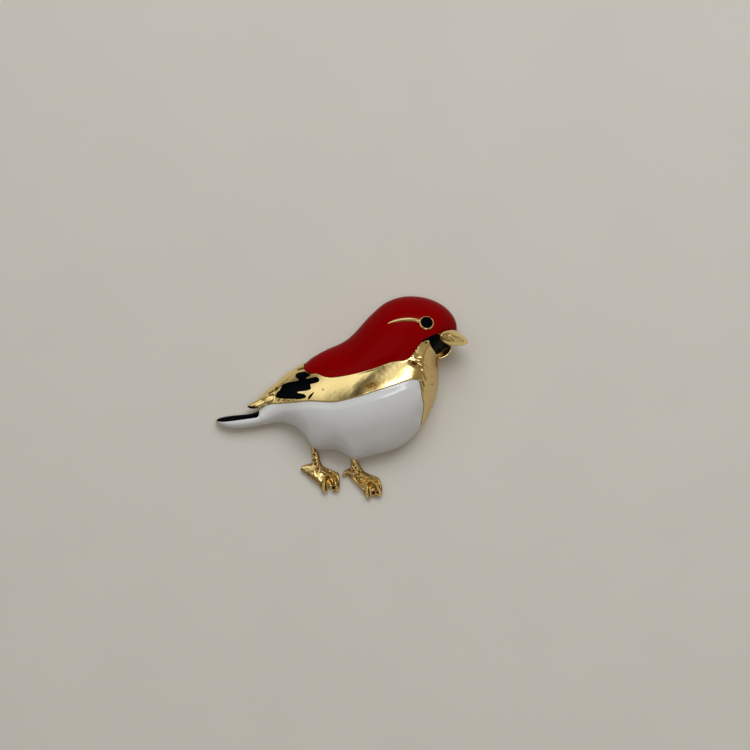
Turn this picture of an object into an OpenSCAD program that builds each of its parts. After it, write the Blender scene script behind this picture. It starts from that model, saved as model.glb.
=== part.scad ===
// Figural animal brooch: a hollow plated casting in the shape of a small bird, with enamel laid into it.
// It lies face up on its open back: +X points to the beak, +Y to the crown and +Z out of the face.
// The origin is under the middle of the brooch, on the surface that it lies on.

/* [Overall] */
// Length from the tip of the tail to the tip of the beak
length = 40; // [36:0.5:44]
// Height from the crown to the toes
height = 32.2; // [30:0.2:35]
// Height of the dome of the body over the rim
dome_h = 7.4; // [6.6:0.1:8.2]
// Height of the plain rim under the dome
rim_h = 0.8; // [0.7:0.05:1]

/* [Shell] */
// Thickness of the casting behind the enamel
wall = 1.1; // [0.9:0.05:1.3]
// Width of the bridge across the hollow
bridge_w = 3.2; // [2.8:0.1:4]
// Thickness of the bridge
bridge_t = 0.9; // [0.7:0.1:1.2]
// Height of the bridge's flat face over the rest plane
bridge_z = 2; // [1.9:0.05:2.3]

/* [Enamel] */
// Thickness of the enamel
enamel_t = 0.4; // [0.3:0.05:0.5]
// How far the enamel lies below the metal beside it
enamel_drop = 0.12; // [0.08:0.01:0.18]
// Gap between the enamel and the metal round it
fit_gap = 0.05; // [0.03:0.01:0.08]

/* [Head] */
// Diameter of the enamel of the eye
eye_d = 1.75; // [1.5:0.05:2]
// How far the eye's enamel domes up
eye_rise = 0.3; // [0.2:0.05:0.4]
// Width of the metal ring round the eye
ring_w = 0.29; // [0.2:0.01:0.35]
// How far the ring stands over the enamel
ring_rise = 0.2; // [0.15:0.05:0.3]
// Width of the brow at its widest
brow_w = 0.66; // [0.5:0.02:0.8]
// How far the brow stands over the casting
brow_rise = 0.08; // [0.04:0.01:0.2]
// Highest point of the beak over the rest plane
beak_top = 6.8; // [6.6:0.1:7.2]
// Thickness of the beak from its top to its underside
beak_t = 2.8; // [2.4:0.1:3.2]
// Height of the lip under the throat
lip_h = 1.9; // [1.4:0.1:2.4]

/* [Wing tip] */
// Width of the wing's free tip where it leaves the body
tip_w = 1.9; // [1.7:0.05:2.1]
// Thickness of the free tip where it leaves the body
tip_t = 1.1; // [0.9:0.05:1.3]
// Height of the middle of the free tip over the rest plane
tip_z = 2.1; // [1.9:0.1:2.4]

/* [Legs] */
// Thickness of a toe
toe_d = 0.95; // [0.8:0.05:1.05]
// Height of the middle of a toe over the rest plane
toe_z = 0.62; // [0.6:0.01:0.8]

/* [Pin] */
// Diameter of the pin
pin_d = 0.8; // [0.7:0.05:0.9]
// Length of the pin's base as a share of the bridge's length
base_share = 0.76; // [0.66:0.01:0.8]
// Width of the pin's base
base_w = 2.2; // [1.8:0.1:2.6]
// Thickness of the pin's base
base_t = 0.45; // [0.4:0.05:0.6]
// Diameter of the knuckle that holds the pin
knuckle_d = 1.3; // [1.2:0.05:1.4]
// Distance of the pin's axis from its base
pin_drop = 0.75; // [0.7:0.05:0.8]
// Width of the catch along the pin
catch_l = 1.2; // [1:0.1:1.6]
// Gap between the pin's base and the bridge
seat_gap = 0.05; // [0.03:0.01:0.1]

/* [Hidden] */

// Places in the plan are shares of the length along X and of the height along Y.
// Sections of the body from the tail to the beak. Columns: X and Y on the belly's outline, X and Y on the
// back's outline, and the crown of the section as a share of the dome's height.
SECTIONS = [
    [-.500, -.122, -.500, -.110, .05],
    [-.484, -.138, -.484, -.099, .125],
    [-.442, -.158, -.442, -.090, .17],
    [-.378, -.151, -.382, -.084, .18],
    [-.323, -.139, -.332, -.076, .205],
    [-.279, -.128, -.309, -.023, .27],
    [-.243, -.124, -.281, .050, .355],
    [-.207, -.133, -.247, .092, .45],
    [-.176, -.157, -.203, .136, .55],
    [-.148, -.189, -.156, .164, .64],
    [-.124, -.248, -.114, .201, .725],
    [-.090, -.268, -.074, .230, .80],
    [-.045, -.258, -.037, .250, .855],
    [-.001, -.270, -.003, .267, .90],
    [.041, -.319, .027, .292, .935],
    [.077, -.303, .054, .325, .965],
    [.122, -.287, .079, .361, .98],
    [.174, -.273, .105, .397, .995],
    [.226, -.252, .132, .429, 1],
    [.271, -.212, .164, .464, 1],
    [.309, -.161, .200, .485, .995],
    [.339, -.097, .240, .499, .98],
    [.363, -.032, .281, .501, .955],
    [.380, .031, .321, .496, .91],
    [.385, .090, .359, .482, .845],
    [.379, .143, .393, .462, .76],
    [.371, .180, .420, .436, .66],
    [.381, .210, .442, .404, .55],
    [.406, .227, .455, .369, .43],
    [.428, .250, .459, .337, .285],
    [.446, .282, .457, .313, .125],
    [.452, .298, .454, .301, .03],
];

// Upper edge of the white enamel, along the tail, the wing and the band. Columns: X and Y.
WHITE_EDGE = [
    [-.498, -.124], [-.492, -.124], [-.442, -.119], [-.378, -.108], [-.340, -.099], [-.327, -.080],
    [-.313, -.050], [-.295, -.035], [-.259, -.028], [-.219, -.026], [-.180, -.022], [-.140, -.017],
    [-.102, -.018], [-.064, -.022], [-.029, -.023], [.009, -.013], [.049, 0], [.089, .014],
    [.128, .031], [.168, .047], [.208, .063], [.246, .080], [.277, .091], [.302, .087], [.320, .072],
];

// Right edge of the white enamel, up the chest, with the same columns
CHEST_EDGE = [[.307, -.163], [.313, -.142], [.320, -.107], [.323, -.070], [.326, -.030]];

// Lower edge of the red enamel, from the wing to the beak, with the same columns
RED_EDGE = [
    [-.151, .140], [-.146, .128], [-.122, .111], [-.102, .122], [-.080, .105], [-.048, .095],
    [-.011, .101], [.027, .109], [.067, .121], [.106, .134], [.146, .151], [.186, .172],
    [.220, .179], [.249, .180], [.269, .194], [.282, .219], [.293, .237], [.304, .258],
    [.318, .277], [.338, .291], [.361, .306], [.383, .313], [.402, .323], [.424, .330],
    [.444, .331], [.456, .327],
];

// Lower edge of the stripe on the tail, with the same columns
STRIPE_EDGE = [
    [-.499, -.118], [-.491, -.119], [-.476, -.122], [-.442, -.117], [-.406, -.111], [-.370, -.103],
    [-.346, -.092], [-.334, -.082],
];

// Sections where each enamel starts and ends
WHITE_SPAN = [0.9, 20.94];
RED_SPAN = [9.12, 29.4];
STRIPE_SPAN = [0.7, 3.85];
// Section from which the chest's metal widens beside the white enamel, near its end
CHEST_START = WHITE_SPAN[1] - 0.94;
// Sections between which the casting is hollow, short of the red enamel's ends
HOLLOW_SPAN = [RED_SPAN[0] + 0.88, RED_SPAN[1] - 2.4];

// Strokes of dark enamel on the wing. Columns: X and Y round the outline.
STROKES = [
    [-.187, .105], [-.178, .120], [-.164, .125], [-.150, .121], [-.140, .114], [-.130, .106],
    [-.131, .101], [-.140, .094], [-.124, .098], [-.103, .103], [-.092, .097], [-.088, .084],
    [-.095, .073], [-.112, .067], [-.123, .063], [-.120, .051], [-.122, .039], [-.136, .032],
    [-.157, .029], [-.175, .025], [-.160, .021], [-.148, .018], [-.140, .007], [-.145, -.004],
    [-.168, -.010], [-.207, -.010], [-.234, -.008], [-.254, -.005], [-.264, .004], [-.261, .018],
    [-.252, .034], [-.243, .048], [-.237, .063], [-.226, .071], [-.207, .077], [-.186, .082],
    [-.173, .087], [-.182, .094],
];

// The narrow stroke beside them, with the same columns
SLIVER = [[-.135, -.008], [-.130, .009], [-.113, .027], [-.109, .025], [-.120, .002], [-.130, -.010]];

// Patch under the beak, with the same columns
BIB = [
    [.311, .268], [.322, .279], [.341, .288], [.358, .298], [.375, .306], [.379, .297], [.388, .276],
    [.404, .257], [.424, .247], [.424, .238], [.412, .228], [.397, .213], [.383, .204], [.371, .202],
    [.367, .217], [.358, .234], [.350, .251], [.345, .268], [.343, .280], [.334, .280], [.323, .275],
];

// Brow, from its tip to the eye's ring. Columns: X, Y and share of its full width.
BROW = [
    [.174, .359, .12], [.194, .370, .58], [.222, .378, .86], [.253, .382, .97], [.281, .380, 1],
    [.305, .376, .8],
];

// Middle of the eye. Columns: X and Y.
EYE = [.334, .366];

// Beak, from the cheek to its tip. Columns: X and Y on its lower edge, X and Y on its upper edge, its top's
// height as a share of its highest point, and its share of the full thickness.
BEAK = [
    [.381, .297, .381, .308, .93, .25],
    [.386, .283, .388, .320, .97, .65],
    [.400, .271, .406, .327, .98, .9],
    [.420, .259, .432, .332, .93, 1],
    [.444, .254, .454, .328, .84, 1],
    [.466, .254, .473, .311, .73, .9],
    [.484, .257, .488, .294, .63, .7],
    [.496, .263, .497, .279, .55, .45],
    [.500, .269, .500, .274, .50, .2],
];

// Lip under the throat. Columns: X and Y round the outline.
LIP = [
    [.368, .170], [.372, .205], [.395, .235], [.420, .262], [.430, .257], [.434, .247], [.430, .229],
    [.419, .211], [.405, .200], [.388, .194], [.376, .192], [.376, .172],
];

// Free tip of the wing. Columns: X, Y and diameter as a share of its full width.
WING_TIP = [[-.278, .000, 1], [-.318, -.014, .76], [-.350, -.030, .42], [-.372, -.039, .22]];

// Legs and toes as chains of balls. Columns: X, Y, height of the ball's middle and its diameter, both as
// shares of those of a toe.
LIMBS = [
    [[-.118, -.235, .80, .85], [-.107, -.262, .85, .92], [-.106, -.290, 1.1, 1.05],
     [-.104, -.322, 1.2, 1.25], [-.104, -.348, 1.4, 1.65]],
    [[-.146, -.354, 1.2, 1.35], [-.106, -.360, 1.45, 1.75], [-.082, -.392, 1.3, 1.45],
     [-.066, -.460, 1, .95]],
    [[-.082, -.385, 1.3, 1.2], [-.040, -.393, 1.35, 1.05], [-.022, -.452, 1, .95]],
    [[-.050, -.376, 1.2, 1], [-.022, -.392, 1.3, .9], [-.014, -.440, 1, .85]],
    [[.048, -.300, .80, .85], [.049, -.318, .95, 1.05], [.053, -.345, 1.2, 1.3], [.062, -.372, 1.4, 1.7]],
    [[.007, -.384, 1, .75], [.027, -.377, 1.1, 1], [.060, -.386, 1.4, 1.65], [.084, -.415, 1.35, 1.4],
     [.100, -.488, 1, .95]],
    [[.084, -.400, 1.35, 1.25], [.108, -.412, 1.4, 1.05], [.147, -.480, 1, .95]],
    [[.080, -.376, 1.3, 1.3], [.128, -.388, 1.35, .95], [.153, -.448, 1, .85]],
];

// Bridge across the hollow. Columns: X of its left end, X of its right end and Y of its middle.
BRIDGE = [-.145, .350, .035];

// Sections between two rows of facets, and between the two rows at an enamel's end wall
STEP = 0.5;
END_STEP = 0.02;
// Columns of facets over the chest, the white enamel, the band, the red enamel and the hollow
CHEST_COLS = 2;
WHITE_COLS = 8;
BAND_COLS = 5;
RED_COLS = 8;
HOLLOW_COLS = 7;
// How close to an outline the enamel's room comes, as a share of the half turn
EDGE = 0.008;
LAST = len(SECTIONS) - 1;
room_depth = enamel_drop + enamel_t + fit_gap;
lip_lift = rim_h / 3;
base_l = base_share * (BRIDGE[1] - BRIDGE[0]) * length;
pin_z = bridge_z - seat_gap - base_t - pin_drop;

// A point or row between a and b
function mix(a, b, t) = a + (b - a) * t;

// Row i of a table, which goes on in a straight line past its ends
function row(table, i) =
    let (n = len(table) - 1)
    i < 0 ? 2 * table[0] - table[1] : i > n ? 2 * table[n] - table[n - 1] : table[i];

// Smooth curve along a table's rows: a uniform cubic B-spline that starts and ends on its end rows
function curve(table, s) =
    let (i = max(0, min(floor(s), len(table) - 2)), t = s - i)
    (row(table, i - 1) * pow(1 - t, 3) + row(table, i) * (3 * pow(t, 3) - 6 * pow(t, 2) + 4)
     + row(table, i + 1) * (1 + 3 * t + 3 * pow(t, 2) - 3 * pow(t, 3)) + row(table, i + 2) * pow(t, 3)) / 6;

// Plan point of a pair of shares
function plan(p) = [p[0] * length, p[1] * height];

// Point of the body's face at section s, at a share f of the half turn from the belly to the back
function face(s, f) =
    let (c = curve(SECTIONS, s), p = mix(plan([c[0], c[1]]), plan([c[2], c[3]]), (1 - cos(180 * f)) / 2))
    [p.x, p.y, rim_h + dome_h * c[4] * sin(180 * f)];

// Direction out of the face
function outward(s, f) =
    let (d = 0.02, a = max(0, s - d), b = min(LAST, s + d),
         n = cross(face(b, f) - face(a, f), face(s, f + d) - face(s, f - d)))
    n / norm(n);

// Point at a height over the face
function over(s, f, h) = face(s, f) + outward(s, f) * h;

// Section through the plan point p, found by halving the range from a to b
function section_of(p, a, b, turns = 14) =
    let (m = (a + b) / 2, c = curve(SECTIONS, m), low = plan([c[0], c[1]]),
         across = plan([c[2], c[3]]) - low, d = p - low)
    turns == 0 ? m
    : across.x * d.y - across.y * d.x < 0 ? section_of(p, m, b, turns - 1)
    : section_of(p, a, m, turns - 1);

// Section and half-turn share of the plan point p, between the sections a and b
function place_of(p, a, b) =
    let (s = section_of(p, a, b), c = curve(SECTIONS, s), low = plan([c[0], c[1]]),
         across = plan([c[2], c[3]]) - low, t = (p - low) * across / (across * across))
    [s, acos(1 - 2 * max(0, min(1, t))) / 180];

// Half-turn share at which section s crosses a table's edge, found by halving the range from a to b
function crossing(edge, s, a = 0, b = -1, turns = 14) =
    let (z = b < 0 ? len(edge) - 1 : b, m = (a + z) / 2, c = curve(SECTIONS, s), low = plan([c[0], c[1]]),
         across = plan([c[2], c[3]]) - low, d = plan(curve(edge, m)) - low,
         t = d * across / (across * across))
    turns == 0 ? acos(1 - 2 * max(0, min(1, t))) / 180
    : across.x * d.y - across.y * d.x > 0 ? crossing(edge, s, m, z, turns - 1)
    : crossing(edge, s, a, m, turns - 1);

// Half-turn shares of the white enamel's right and upper edges, and of the red enamel's or the stripe's edge
function chest_share(s) = s <= CHEST_START ? EDGE : max(EDGE, crossing(CHEST_EDGE, min(s, WHITE_SPAN[1])));
function white_share(s) =
    min(1 - 3 * EDGE, crossing(WHITE_EDGE, max(WHITE_SPAN[0], min(WHITE_SPAN[1], s))));
function red_share(s) =
    s < STRIPE_SPAN[1] ? crossing(STRIPE_EDGE, max(STRIPE_SPAN[0], s))
    : s > RED_SPAN[0] ? min(1 - 4 * EDGE, crossing(RED_EDGE, min(RED_SPAN[1], s)))
    : let (t = (s - STRIPE_SPAN[1]) / (RED_SPAN[0] - STRIPE_SPAN[1]),
           ends = mix(crossing(STRIPE_EDGE, STRIPE_SPAN[1]), crossing(RED_EDGE, RED_SPAN[0]), t))
      max(ends, mix(white_share(s), 1, 0.3));

// Rows of sections from a to b, STEP over a divisor apart or a little less
function steps(a, b, finer) = let (n = ceil((b - a) * finer / STEP)) [for (i = [0 : n]) mix(a, b, i / n)];

// Whether s lies in a span
function within(s, span) = s > span[0] - END_STEP / 4 && s < span[1] + END_STEP / 4;

// Places on the face in rows over a rectangle of sections and half-turn shares
function spread(s0, s1, f0, f1, rows, cols) = [
    for (i = [0 : rows]) [for (j = [0 : cols]) [mix(s0, s1, i / rows), mix(f0, f1, j / cols)]]
];

// The place a distance d from place a towards place b
function toward(a, b, d) = mix(a, b, d / norm(face(a[0], a[1]) - face(b[0], b[1])));

// The same rows drawn in by d all round
function drawn_in(rows, d) =
    let (n = len(rows) - 1, m = len(rows[0]) - 1,
         cut = [for (r = rows)
             [toward(r[0], r[1], d), for (j = [1 : m - 1]) r[j], toward(r[m], r[m - 1], d)]])
    [
        [for (j = [0 : m]) toward(cut[0][j], cut[1][j], d)],
        for (i = [1 : n - 1]) cut[i],
        [for (j = [0 : m]) toward(cut[n][j], cut[n - 1][j], d)]
    ];

// Closed solid between two skins of n by m facets, whose points are listed row by row, the upper skin first
module shell_between(points, n, m) {
    skin = (n + 1) * (m + 1);
    function at(i, j) = i * (m + 1) + j;
    ring = [for (i = [0 : n - 1]) at(i, 0), for (j = [0 : m - 1]) at(n, j), for (i = [n : -1 : 1]) at(i, m),
            for (j = [m : -1 : 1]) at(0, j)];
    polyhedron(points, [
        for (i = [0 : n - 1]) for (j = [0 : m - 1])
            each [[at(i, j), at(i + 1, j + 1), at(i + 1, j)], [at(i, j), at(i, j + 1), at(i + 1, j + 1)],
                  [skin + at(i, j), skin + at(i + 1, j), skin + at(i + 1, j + 1)],
                  [skin + at(i, j), skin + at(i + 1, j + 1), skin + at(i, j + 1)]],
        for (k = [0 : len(ring) - 1])
            let (a = ring[k], b = ring[(k + 1) % len(ring)])
            each [[a, b, skin + b], [a, skin + b, skin + a]]
    ], convexity = 6);
}

// Slab that follows the face over rows of places, from the height down to the height up
module slab(rows, down, up)
    shell_between([for (h = [up, down]) for (r = rows) for (q = r) over(q[0], q[1], h)],
                  len(rows) - 1, len(rows[0]) - 1);

// Rows of the body: every span starts and ends in an end wall, two rows close together
BREAKS = [0, STRIPE_SPAN[0], WHITE_SPAN[0], STRIPE_SPAN[1], RED_SPAN[0], HOLLOW_SPAN[0], CHEST_START,
          WHITE_SPAN[1], HOLLOW_SPAN[1], RED_SPAN[1], LAST];
STARTS = [STRIPE_SPAN[0], WHITE_SPAN[0], RED_SPAN[0], HOLLOW_SPAN[0]];
ENDS = [STRIPE_SPAN[1], WHITE_SPAN[1], HOLLOW_SPAN[1], RED_SPAN[1]];
function listed(s, list) = len([for (v = list) if (v == s) v]) > 0;
BODY_ROWS = [
    for (i = [0 : len(BREAKS) - 2])
        let (a = BREAKS[i], b = BREAKS[i + 1], first = listed(a, ENDS) ? a + END_STEP : a,
             last = listed(b, STARTS) ? b - END_STEP : b,
             list = steps(first, last, a == CHEST_START ? 4 : 1))
        each [for (k = [0 : len(list) - 1])
            if (i == 0 || k > 0 || list[0] != BREAKS[i] || listed(a, STARTS)) list[k]]
];

// Places across the body at section s, from one half-turn share to another
function across_row(s, a, b, cols) = [for (j = [0 : cols]) [s, mix(a, b, j / cols)]];
WHITE_ROWS = [for (s = BODY_ROWS) if (within(s, WHITE_SPAN))
    across_row(s, chest_share(s) + EDGE, white_share(s) - EDGE, WHITE_COLS)];
RED_ROWS = [for (s = BODY_ROWS) if (within(s, RED_SPAN))
    across_row(s, red_share(s) + EDGE, 1 - 2 * EDGE, RED_COLS)];
STRIPE_ROWS = [for (s = BODY_ROWS) if (within(s, STRIPE_SPAN))
    across_row(s, red_share(s) + EDGE, 1 - 2 * EDGE, RED_COLS)];

// Enamel over rows of places
module enamel_fill(rows) slab(drawn_in(rows, fit_gap), -enamel_drop - enamel_t, -enamel_drop);

// Upright block over an outline of plan shares, grown by a gap
module block(outline, gap = 0)
    linear_extrude(height = 2 * dome_h)
        if (gap == 0) polygon([for (p = outline) plan(p)]);
        else offset(delta = gap) polygon([for (p = outline) plan(p)]);

// Part of the body's face where the wing's strokes lie, and where the bib lies
module wing_layer(down, up) slab(spread(5, 12.5, .25, .97, 12, 6), down, up);
module bib_layer(down, up, gap)
    slab(drawn_in(spread(20.5, 30.4, .1, .8, 14, 8), gap), down, up);

// Moves its children to the eye, square to the face
module at_eye() {
    q = place_of(plan(EYE), 20, 30);
    n = outward(q[0], q[1]);
    translate(face(q[0], q[1])) rotate([0, acos(n.z), atan2(n.y, n.x)]) children();
}

// Outline of the brow, wider by a gap on each side
function brow_outline(gap) =
    let (steps = 14, last = len(BROW) - 1,
         rail = [for (i = [0 : steps])
             let (c = curve(BROW, last * i / steps)) [each plan([c[0], c[1]]), c[2]]],
         side = [for (i = [0 : steps])
             let (a = rail[max(0, i - 1)], b = rail[min(steps, i + 1)], d = [b.x - a.x, b.y - a.y],
                  n = [-d.y, d.x] / norm(d))
             [rail[i].x, rail[i].y, n.x, n.y, brow_w / 2 * rail[i][2] + gap]])
    concat([for (q = side) [q[0] + q[2] * q[4], q[1] + q[3] * q[4]]],
           [for (i = [steps : -1 : 0]) let (q = side[i]) [q[0] - q[2] * q[4], q[1] - q[3] * q[4]]]);

// Closed loop round the casting's shell at section s: up the belly's rim, over the face with its rooms for
// the enamel, down the back's rim, and back through the hollow
function shell_loop(s) =
    let (c = curve(SECTIONS, s), low = plan([c[0], c[1]]), high = plan([c[2], c[3]]),
         w = chest_share(s), x = white_share(s), r = red_share(s),
         white_down = within(s, WHITE_SPAN) ? -room_depth : 0,
         red_down = within(s, RED_SPAN) || within(s, STRIPE_SPAN) ? -room_depth : 0,
         hollow = within(s, HOLLOW_SPAN), depth = min(room_depth + wall, norm(high - low) / 4),
         in_low = outward(s, 0) * depth, in_high = outward(s, 1) * depth,
         l = low - [in_low.x, in_low.y], h = high - [in_high.x, in_high.y], crown = dome_h * c[4] - depth)
    [
        [low.x, low.y, 0],
        for (q = across_row(s, 0, w, CHEST_COLS)) over(q[0], q[1], 0),
        for (q = across_row(s, w + EDGE, x - EDGE, WHITE_COLS)) over(q[0], q[1], white_down),
        for (q = across_row(s, x, r, BAND_COLS)) over(q[0], q[1], 0),
        for (q = across_row(s, r + EDGE, 1 - 2 * EDGE, RED_COLS)) over(q[0], q[1], red_down),
        over(s, 1 - EDGE, 0),
        over(s, 1, 0),
        [high.x, high.y, 0],
        [h.x, h.y, 0],
        for (j = [0 : HOLLOW_COLS])
            let (p = mix(h, l, mix(EDGE, 1 - EDGE, (1 - cos(180 * j / HOLLOW_COLS)) / 2)))
            [p.x, p.y, hollow ? rim_h + crown * sin(180 * j / HOLLOW_COLS) : 0],
        [l.x, l.y, 0]
    ];

// Closed solid through loops of points, one after the other
module loft(loops) {
    rows = len(loops) - 1;
    n = len(loops[0]);
    polyhedron([for (l = loops) each l], [
        for (i = [0 : rows - 1]) for (j = [0 : n - 1])
            let (k = (j + 1) % n, p = i * n, q = p + n)
            each [[p + j, p + k, q + k], [p + j, q + k, q + j]],
        [for (j = [n - 1 : -1 : 0]) j],
        [for (j = [0 : n - 1]) rows * n + j]
    ], convexity = 8);
}

// Beak as a loft of ovals, grown by a gap
module beak(gap = 0) {
    rows = 14;
    sides = 16;
    loft([for (i = [0 : rows])
        let (c = curve(BEAK, (len(BEAK) - 1) * i / rows), a = plan([c[0], c[1]]), b = plan([c[2], c[3]]),
             half = beak_t * c[5] / 2, d = (b - a) * gap / norm(b - a))
        [for (j = [0 : sides - 1])
            let (p = mix(a - d, b + d, (1 - cos(360 * j / sides)) / 2))
            [p.x, p.y, beak_top * c[4] - half + (half + gap) * sin(360 * j / sides)]]]);
}

// Lip under the throat, grown by a gap
module lip(gap = 0)
    translate([0, 0, lip_lift - gap]) linear_extrude(height = lip_h - lip_lift + 2 * gap)
        if (gap == 0) polygon([for (p = LIP) plan(p)]);
        else offset(delta = gap) polygon([for (p = LIP) plan(p)]);

// Chain of balls, each joined to the next
module limb(chain)
    for (i = [0 : len(chain) - 2])
        hull() for (c = [chain[i], chain[i + 1]])
            translate([c[0] * length, c[1] * height, c[2] * toe_z]) sphere(d = c[3] * toe_d, $fn = 8);

// Free tip of the wing past the body
module wing_tip()
    for (i = [0 : len(WING_TIP) - 2])
        hull() for (c = [WING_TIP[i], WING_TIP[i + 1]])
            translate([c[0] * length, c[1] * height, tip_z])
                scale([1, 1, tip_t / tip_w]) sphere(d = c[2] * tip_w, $fn = 12);

// Bridge across the hollow, which ends in the walls
module bridge()
    translate([BRIDGE[0] * length, BRIDGE[2] * height - bridge_w / 2, bridge_z])
        cube([(BRIDGE[1] - BRIDGE[0]) * length, bridge_w, bridge_t]);

module casting() color("goldenrod")
    union() {
        difference() {
            loft([for (s = BODY_ROWS) shell_loop(s)]);
            intersection() {
                union() {
                    block(STROKES, fit_gap);
                    block(SLIVER, fit_gap);
                }
                wing_layer(-room_depth, 1);
            }
            intersection() {
                block(BIB, fit_gap);
                bib_layer(-room_depth, 1, 0);
            }
        }
        bridge();
        beak();
        lip();
        wing_tip();
        for (chain = LIMBS) limb(chain);
        brow_and_ring();
    }

// Brow and the eye's ring, which reach through the red enamel
module brow_and_ring() {
    root = room_depth + wall / 3;
    intersection() {
        linear_extrude(height = 2 * dome_h) polygon(brow_outline(0));
        slab(spread(16, 25, .55, .9, 14, 5), -root, brow_rise);
    }
    at_eye() difference() {
        translate([0, 0, -root]) cylinder(d = eye_d + 2 * ring_w, h = root + ring_rise, $fn = 32);
        cylinder(d = eye_d, h = 1, $fn = 32);
    }
}

module red_enamel() color("darkred")
    difference() {
        enamel_fill(RED_ROWS);
        linear_extrude(height = 2 * dome_h) polygon(brow_outline(fit_gap));
        at_eye() cylinder(d = eye_d + 2 * ring_w + 2 * fit_gap, h = 4, center = true, $fn = 32);
    }

module white_enamel() color("whitesmoke") enamel_fill(WHITE_ROWS);

module tail_enamel() color("black") enamel_fill(STRIPE_ROWS);

module wing_enamel() color("black")
    intersection() {
        union() {
            block(STROKES);
            block(SLIVER);
        }
        wing_layer(-enamel_drop - enamel_t, -enamel_drop);
    }

module bib_enamel() color("black")
    difference() {
        intersection() {
            block(BIB);
            bib_layer(-enamel_drop - enamel_t, -enamel_drop, fit_gap);
        }
        beak(fit_gap);
        lip(fit_gap);
    }

// Domed disc in the eye's ring: a cap of a ball over a short cylinder
module eye_enamel() color("black")
    at_eye() {
        r = eye_d / 2 - fit_gap;
        ball = (r * r + eye_rise * eye_rise) / (2 * eye_rise);
        translate([0, 0, fit_gap]) rotate_extrude($fn = 32) intersection() {
            translate([0, eye_rise - ball]) circle(r = ball, $fn = 64);
            square([r, eye_rise]);
        }
    }

// Pin with its base, knuckle and catch
module pin_fitting() color("silver")
    translate([(BRIDGE[0] + BRIDGE[1]) / 2 * length, BRIDGE[2] * height, 0]) {
        top = bridge_z - seat_gap;
        half = base_l / 2;
        knuckle_x = -half + knuckle_d / 2;
        catch_x = half - catch_l;
        translate([-half, -base_w / 2, top - base_t]) cube([base_l, base_w, base_t]);
        translate([knuckle_x, base_w / 2, pin_z]) rotate([90, 0, 0]) cylinder(d = knuckle_d, h = base_w);
        translate([-half, -base_w / 2, pin_z]) cube([knuckle_d, base_w, top - base_t - pin_z]);
        translate([knuckle_x, 0, pin_z]) rotate([0, 90, 0])
            cylinder(d = pin_d, h = base_l - knuckle_d / 2 + 0.6);
        translate([catch_x, 0, pin_z]) rotate([0, 90, 0]) cylinder(d = pin_d + 0.5, h = catch_l);
        translate([catch_x, -pin_d / 2 - 0.1, pin_z]) cube([catch_l, pin_d + 0.2, top - base_t - pin_z]);
    }

casting();
red_enamel();
white_enamel();
wing_enamel();
bib_enamel();
tail_enamel();
eye_enamel();
pin_fitting();
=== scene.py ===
"""Small bird brooch: polished gold plate, glossy enamel and a pin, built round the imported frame."""

import bmesh
import bpy
import numpy as np
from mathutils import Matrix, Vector
from mathutils.geometry import delaunay_2d_cdt

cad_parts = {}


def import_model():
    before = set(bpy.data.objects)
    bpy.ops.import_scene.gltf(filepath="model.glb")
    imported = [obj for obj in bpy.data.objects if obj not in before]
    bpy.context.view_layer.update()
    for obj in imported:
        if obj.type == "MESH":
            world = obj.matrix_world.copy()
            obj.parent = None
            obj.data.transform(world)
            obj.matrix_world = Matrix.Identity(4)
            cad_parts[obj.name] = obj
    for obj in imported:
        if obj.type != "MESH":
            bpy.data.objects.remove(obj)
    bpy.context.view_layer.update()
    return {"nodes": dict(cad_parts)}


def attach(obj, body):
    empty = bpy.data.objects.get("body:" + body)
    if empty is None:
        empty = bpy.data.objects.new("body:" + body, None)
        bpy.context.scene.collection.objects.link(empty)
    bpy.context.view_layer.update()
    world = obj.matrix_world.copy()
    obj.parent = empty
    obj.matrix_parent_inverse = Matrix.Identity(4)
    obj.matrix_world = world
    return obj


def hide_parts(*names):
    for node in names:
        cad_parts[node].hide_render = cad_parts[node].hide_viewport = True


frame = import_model()

# Sizes in millimetres. Plan tables hold shares of the brooch's length and height.
MM = 0.001
LENGTH = 40.0
HEIGHT = 32.2
DOME_H = 7.394
RIM_H = 0.8
WALL = 1.1
ROOM_DEPTH = 0.57
ENAMEL_T = 0.4
PHOTO_SIDE = 750
PIXELS_PER_MM = 6.29
PHOTO_CENTRE = (342.2, 397.3)

# Sections of the body from the tail to the beak. Columns: X and Y on the belly's outline, X and Y on the
# back's outline, and the crown as a share of the dome's height.
SECTIONS = np.array([
    [-.5, -.122, -.5, -.11, .05], [-.484, -.138, -.484, -.099, .125], [-.442, -.158, -.442, -.09, .17],
    [-.378, -.151, -.382, -.084, .18], [-.323, -.139, -.332, -.076, .205], [-.279, -.128, -.309, -.023, .27],
    [-.243, -.124, -.281, .05, .355], [-.207, -.133, -.247, .092, .45], [-.176, -.157, -.203, .136, .55],
    [-.148, -.189, -.156, .164, .64], [-.124, -.248, -.114, .201, .725], [-.09, -.268, -.074, .23, .8],
    [-.045, -.258, -.037, .25, .855], [-.001, -.27, -.003, .267, .9], [.041, -.319, .027, .292, .935],
    [.077, -.303, .054, .325, .965], [.122, -.287, .079, .361, .98], [.174, -.273, .105, .397, .995],
    [.226, -.252, .132, .429, 1], [.271, -.212, .164, .464, 1], [.309, -.161, .2, .485, .995],
    [.339, -.097, .24, .499, .98], [.363, -.032, .281, .501, .955], [.38, .031, .321, .496, .91],
    [.385, .09, .359, .482, .845], [.379, .143, .393, .462, .76], [.371, .18, .42, .436, .66],
    [.381, .21, .442, .404, .55], [.406, .227, .455, .369, .43], [.428, .25, .459, .337, .285],
    [.446, .282, .457, .313, .125], [.452, .298, .454, .301, .03],
])

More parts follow.
